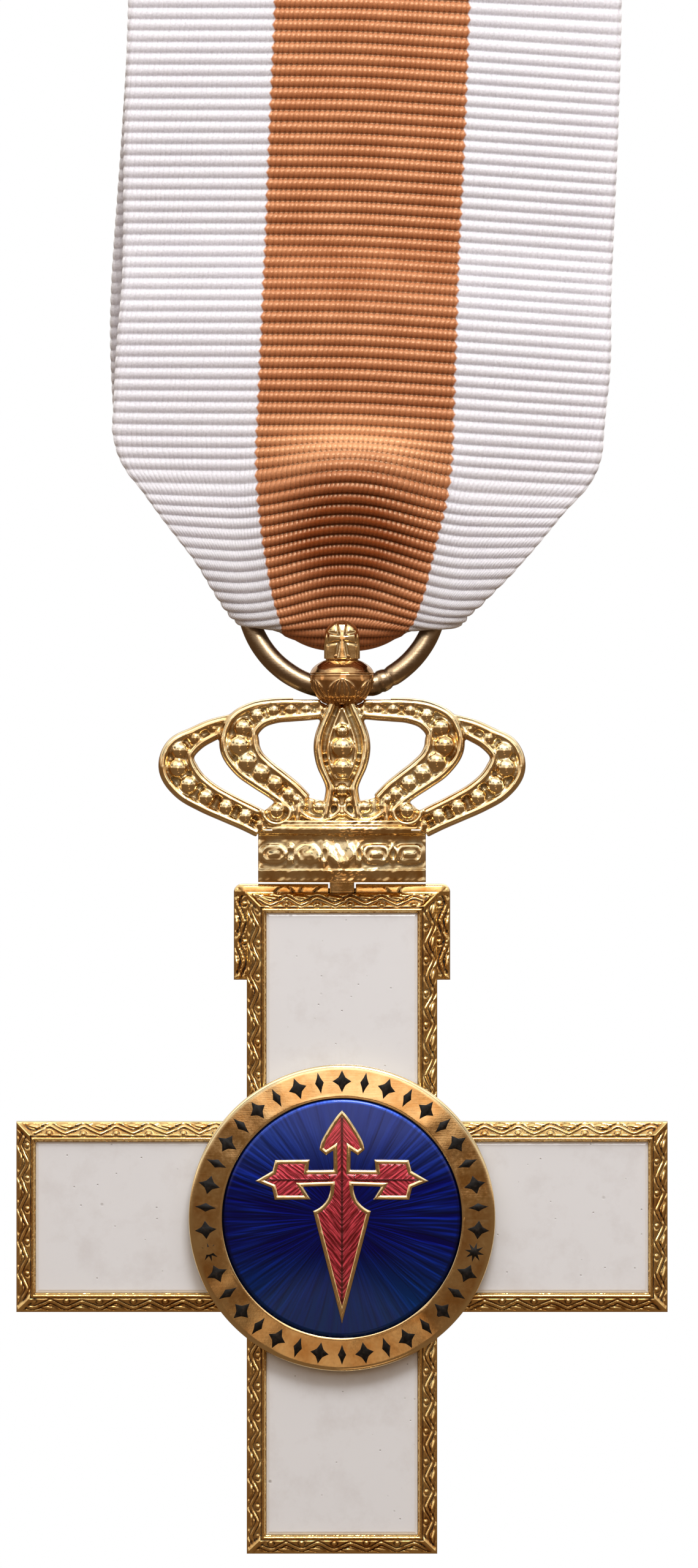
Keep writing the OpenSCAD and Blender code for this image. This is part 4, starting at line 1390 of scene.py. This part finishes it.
def ribbon_cloth():
    """Cloth that is drawn by the mesh's own map, whose U runs across and V along, in metres."""
    material, tree, shader = new_material("ribbed rayon", "ribbon_cloth")
    weave = millimetres(add(tree, "UVMap", uv_map="cloth"))
    across, along, _ = weave.parts()
    # 0 in the groove beside a cord and 0.5 on the cord's back
    from_groove = (along * (1 / RIB)).calc("PINGPONG", 0.5)
    # 1 in the middle of a cover thread and 0 between two threads, which drift and slant a little
    drifting = across + along * 0.12 + noise(weave, 2.5) * 0.5
    thread = abs((drifting * (math.pi / THREAD)).calc("SINE"))
    # The colours meet in teeth, one for each cord
    from_middle = abs(across)
    edge = from_middle + from_groove.ramp(0, 0.5, 0.09, -0.09)
    outside = edge.ramp(STRIPE_HALF - 0.05, STRIPE_HALF + 0.05)
    wear = noise(weave, 3.0, 4)
    fibre = noise(weave, 0.12)
    # Painted shade darkens the stripe in the hollow above the ring, where the cloth faces down under the
    # crest
    beside = from_middle.ramp(1.5, 6.0, 0.0, 5.4)
    painted_hollow_shade = (abs(along - HOLLOW_AT) + beside).ramp(2.0, 6.2)
    # A painted highlight makes it palest on the crest above the hollow, above all in the middle
    painted_crest_highlight = abs(along - CREST_AT).ramp(0.5, 2.6, 0.65, 0.0)
    faded = painted_crest_highlight * from_middle.ramp(1.5, 5.5, 1.0, 0.35)
    # The darkest brown is painted shade in the hollow, the palest a painted highlight on the crest
    browns = painted_hollow_shade.mix("#88401a", faded.mix(wear.mix("#9c5832", "#c2825a"), "#e8ac7c"))
    dyed = outside.mix(browns, wear.mix("#d2d1d9", "#dad9df"))
    # Painted shade darkens each groove and, less, the gaps between threads. Between the rounded ends of the
    # threads the groove's shade shows, so a cord has a scalloped edge
    painted_groove_shade = (from_groove - thread.ramp(0, 1, 0.16, 0.0)).ramp(-0.02, 0.08, 0.55, 0.0)
    dark = painted_groove_shade.calc("MAXIMUM", thread.ramp(0, 0.5, 0.2, 0.0))
    shade = (dark * outside.ramp(0, 1, -1.0, -0.06) + 1.0) * fibre.ramp(0.3, 0.7, 0.9, 1.08)
    fill(
        shader, Base_Color=dyed.vector("SCALE", {"Scale": shade}),
        Normal=bumped(thread + fibre * 0.6, 30 * MICRON), Specular_Tint=outside.mix("#ffd8b0", "#8c8c92"),
        Subsurface_Weight=outside.ramp(0, 1, 0.0, 0.8), Subsurface_Radius=(1, 1, 1),
        Subsurface_Scale=0.6 * MM, Roughness=0.36, Specular_IOR_Level=1.0, Sheen_Weight=0.05,
        Sheen_Roughness=0.35,
    )
    return material


rayon = ribbon_cloth()
print("cords every", RIB, "mm, threads every", THREAD, "mm")

# %% Sections of the ribbon
# Each row is a section of the loop, from the bar down the front and up the back: depth and height of its
# middle, then across the left edge, both ends of the stripe and the right edge. The last four say how far
# the middle is drawn up above the folds beside it, how far it lies behind them, how wide its wave is, and
# how far the edges rise.
BAR_UP = 80.5
TURN = 1.25
DIAGONAL = 0.71 * TURN
PLAIN = (0, 0, 20, 0)
ON_BAR = (-12.9, -3.9, 8.1, 17.1, *PLAIN)
RIBBON_ROWS = [
    (0.0, BAR_UP + TURN, *ON_BAR),
    (-DIAGONAL, BAR_UP + DIAGONAL, *ON_BAR),
    (-TURN, BAR_UP, *ON_BAR),
    (-1.0, 74, -13.1, -4.15, 7.8, 17.1, *PLAIN),
    (-0.55, 66, -13.36, -4.5, 7.5, 16.85, 0, 0.05, 20, 0),
    (-0.2, 61, -13.4, -4.69, 7.26, 16.63, 0, 0.2, 20, 0),
    (-0.2, 59.4, -13.42, -4.76, 7.19, 16.56, 0, 0.3, 20, 0),
    (-0.7, 57.6, -13.46, -4.83, 7.11, 16.49, *PLAIN),
    (-1.1, 55.8, -13.6, -4.9, 7.05, 16.48, 0, -0.2, 20, 0),
    (-1.15, 53.3, -13.82, -5.01, 6.97, 16.44, 0, -0.15, 18, 0),
    (-1.05, 50, -13.98, -5.16, 6.87, 16.11, 0, -0.05, 16, 0.05),
    (-1.12, 48.5, -14.07, -5.23, 6.83, 16.0, 0.05, -0.12, 15, 0.1),
    (-1.35, 47.9, -14.0, -5.26, 6.8, 15.92, 0.12, -0.35, 15, 0.1),
    (-2.15, 47.1, -13.71, -5.26, 6.72, 15.59, 0.42, -1.15, 15, 0.1),
    (-2.8, 46.3, -13.15, -5.23, 6.59, 14.98, 0.7, -1.8, 15, 0.12),
    (-3.0, 45.5, -12.39, -5.17, 6.43, 14.17, 0.93, -1.98, 15, 0.2),
    (-2.85, 44.8, -11.89, -5.13, 6.31, 13.58, 1.0, -1.8, 15, 0.3),
    (-2.2, 43.5, -10.94, -5.0, 6.0, 12.6, 1.1, -1.15, 15, 0.42),
    (-1.5, 42.3, -9.89, -4.86, 5.7, 11.54, 1.28, -0.45, 15, 0.45),
    (-0.85, 41.1, -8.87, -4.68, 5.45, 10.41, 1.4, 0.18, 15, 0.45),
    (-0.25, 39.8, -8.01, -4.47, 5.16, 9.05, 1.5, 0.7, 14.5, 0.45),
    (0.3, 38.5, -7.16, -4.2, 4.8, 7.8, 1.5, 1.1, 14, 0.45),
    (0.75, 37.3, -6.3, -3.9, 4.46, 7.1, 1.2, 1.25, 13, 0.5),
    (1.05, 36.4, -5.1, -3.75, 4.0, 5.05, 0.75, 1.1, 12, 0.8),
    (1.5, 35.6, -4.55, -3.6, 3.75, 4.6, 0.35, 0.6, 11, 1.3),
    (2.1, 35.15, -4.2, -3.45, 3.65, 4.5, 0.1, 0.1, 10, 1.8),
    (2.7, 35.15, -4.2, -3.2, 3.5, 4.5, 0, 0, 10, 2.2),
    (3.15, 35.8, -4.6, -2.9, 3.0, 4.8, 0, 0, 10, 1.9),
    (3.4, 36.8, -7.1, -2.7, 2.8, 6.4, 0, 0, 10, 1.2),
    (3.65, 38.2, -7.95, -3.0, 3.5, 8.4, 0, 0, 10, 0.6),
    (3.95, 40.5, -9.12, -3.6, 4.6, 10.4, 0, 0, 12, 0.3),
    (4.2, 43.0, -10.98, -4.2, 5.6, 12.8, 0, 0, 14, 0),
    (4.2, 44.8, -12.35, -4.6, 6.4, 14.5, 0, 0, 16, 0),
    (3.4, 47.9, -13.8, -5.0, 7.0, 15.9, 0, 0, 18, 0),
    (2.6, 51.5, -14.2, -5.0, 7.0, 16.1, *PLAIN),
    (2.2, 57, -14.22, -4.85, 7.1, 16.2, *PLAIN),
    (1.8, 66, -13.6, -4.5, 7.5, 16.6, *PLAIN),
    (1.4, 74, -13.1, -4.15, 7.8, 16.9, *PLAIN),
    (TURN, BAR_UP, *ON_BAR),
    (DIAGONAL, BAR_UP + DIAGONAL, *ON_BAR),
]
# To the right the cords run downhill, as measured: the share, and where it begins
DOWNHILL = (0.072, 1.0)
# They run level from this depth backwards, and at the bar, which takes effect over some height
LEVEL_DEPTH = 1.2
LEVEL_HEIGHT = 8
CLOTH = 0.42
CORD_RISE = 0.25
print(len(RIBBON_ROWS), "sections")

# %% Cords along the loop
# A cord starts in its groove and is round in between, so its points crowd at the groove
PHASES = np.array([0.0, 0.1, 0.27, 0.5, 0.73, 0.9])

curve = smooth_rows(RIBBON_ROWS, 24, closed=True)
curve = np.vstack([curve, curve[:1]])
travelled = np.append(0, np.cumsum(np.linalg.norm(np.diff(curve[:, :2], axis=0), axis=1)))
LOOP = travelled[-1]
cords = round(LOOP / RIB)
phase = (np.arange(cords)[:, None] + PHASES).ravel() / cords
rows = len(phase)
stations = np.stack([np.interp(phase * LOOP, travelled, column) for column in curve.T], 1)
on_front = 1 - (stations[:, 0] / LEVEL_DEPTH).clip(0, 1)
on_front *= ((BAR_UP - stations[:, 1]) / LEVEL_HEIGHT).clip(0, 1)
hump = np.tile(np.sin(math.pi * PHASES) ** 0.8, cords)[:, None, None]
print("fold at", round(travelled[np.argmin(curve[:, 1])], 1), "mm along the loop")
print(f"ribbon: loop of {LOOP:.1f} mm with {cords} cords")


# %% Cloth surface
def cloth_points(u):
    """Middle of the cloth at every station and place u across it, with its outward direction."""
    depth, up, left, stripe_left, stripe_right, right, rise, behind, width, lift = stations.T[:, :, None]
    knots = np.array([-RIBBON_HALF, -STRIPE_HALF, STRIPE_HALF, RIBBON_HALF])
    places = np.concatenate([left, stripe_left, stripe_right, right], 1)
    x = np.stack([np.interp(u, knots, row) for row in places])
    aside = np.abs(x - (stripe_left + stripe_right) / 2)
    wave = 0.5 + 0.5 * np.cos(2 * math.pi * np.minimum(aside, width / 2) / width)
    tuck = np.abs(u / RIBBON_HALF) ** 6
    right_of = x - DOWNHILL[1]
    drop = DOWNHILL[0] / 2 * (right_of + np.sqrt(right_of ** 2 + 4)) * on_front[:, None]
    z = up + rise * (wave - 1) + lift * (2 * aside / (right - left)) ** 2.5 - drop
    y = depth - behind * (1 - wave) + 0.3 * behind.clip(0) * tuck * (1 - lift / 2.4)
    middle = np.stack([x, y, z], -1)
    along = np.roll(middle, -1, 0) - np.roll(middle, 1, 0)
    out = np.cross(along, np.gradient(middle, axis=1))
    return middle, out / np.linalg.norm(out, axis=2, keepdims=True)


OUTER_COLUMNS = 85
INNER_COLUMNS = 21
u_outer, u_inner = (np.linspace(-RIBBON_HALF, RIBBON_HALF, n) for n in (OUTER_COLUMNS, INNER_COLUMNS))
share_out = np.abs(u_outer / RIBBON_HALF)[:, None]
in_white = (np.abs(u_outer) > STRIPE_HALF)[:, None]
cord_rise = CORD_RISE * (1 - 0.22 * in_white - 0.3 * share_out ** 24)
edge_bulge = 0.05 * share_out ** 40 * np.sign(u_outer)[:, None] * (1, 0, 0)
half = CLOTH / 2 - CORD_RISE / 2
middle, out = cloth_points(u_outer)
outer_face = middle + out * (half + cord_rise * hump) + edge_bulge * hump
middle, out = cloth_points(u_inner)
inner_face = middle - out * (half + 0.5 * CORD_RISE * hump)
points, faces = joined([
    (outer_face, grid_faces(rows, OUTER_COLUMNS, close_rows=True)),
    (inner_face, grid_faces(rows, INNER_COLUMNS, close_rows=True)),
])
# The two edges, between the last columns of the outer and of the inner face
for i in range(rows):
    k = (i + 1) % rows
    a, b = i * OUTER_COLUMNS, k * OUTER_COLUMNS
    c, d = (rows * OUTER_COLUMNS + n * INNER_COLUMNS for n in (i, k))
    faces.append([a, c, d, b])
    faces.append([a + OUTER_COLUMNS - 1, b + OUTER_COLUMNS - 1, d + INNER_COLUMNS - 1, c + INNER_COLUMNS - 1])
ribbon_mesh = make_mesh("ribbed_ribbon", points, faces)
print(len(points), "points in the cloth")

# %% The map of the cloth
# It gives each point its place across and along the cloth, and runs on past the seam of the loop
CLOTH_LENGTH = cords * RIB

u_of_point = np.concatenate([np.tile(u_outer, rows), np.tile(u_inner, rows)])
v_of_point = np.concatenate([np.repeat(phase * CLOTH_LENGTH, n) for n in (OUTER_COLUMNS, INNER_COLUMNS)])
corner = read(ribbon_mesh.loops, "vertex_index", kind=np.int32)
first_loop = read(ribbon_mesh.polygons, "loop_start", kind=np.int32)
v = v_of_point[corner]
start_v = np.repeat(v[first_loop], np.diff(first_loop, append=len(corner)))
v = v + CLOTH_LENGTH * np.round((start_v - v) / CLOTH_LENGTH)
uv = np.stack([u_of_point[corner], v], 1) * MM
ribbon_mesh.uv_layers.new(name="cloth").data.foreach_set("uv", uv.astype(np.float32).ravel())
ribbon_piece = finish_piece(ribbon_mesh, rayon, "hanger", ["ribbon"])

# %% [markdown]
# ## The stage
#
# The piece hangs in the air, so the floor is only a pale round board below it that fades out at its rim.

# %% Floor
FLOOR_Z = -135
FLOOR_RADIUS = 260
FLOOR_SIDES = 64


def pale_board():
    """Matt board that turns transparent towards its rim."""
    material, tree, shader = new_material("pale board", "pale_board")
    far = add(tree, "TexCoord", output="Object").vector("LENGTH", output="Value")
    fill(shader, Base_Color=srgb("#f4f2ef"), Roughness=0.8)
    fade = far.ramp(0.45 * FLOOR_RADIUS * MM, FLOOR_RADIUS * MM)
    faded = add(tree, "MixShader", {0: fade, 1: shader, 2: add(tree, "BsdfTransparent")})
    feed(next(node for node in tree.nodes if node.type == "OUTPUT_MATERIAL"), {"Surface": faded})
    return material


board_points = np.insert(circle(FLOOR_RADIUS * MM, FLOOR_SIDES), 2, 0, axis=1)
floor_mesh = make_mesh("floor", board_points, [list(range(FLOOR_SIDES))])
floor_mesh.materials.append(pale_board())
floor = bpy.data.objects.new("floor", floor_mesh)
floor.location = (0, 0, FLOOR_Z * MM)
bpy.context.scene.collection.objects.link(floor)
# A white board right below would brighten all that faces down, so the metal doesn't see it
floor.visible_glossy = False
floor.visible_diffuse = False
print("floor of", 2 * FLOOR_RADIUS, "mm")
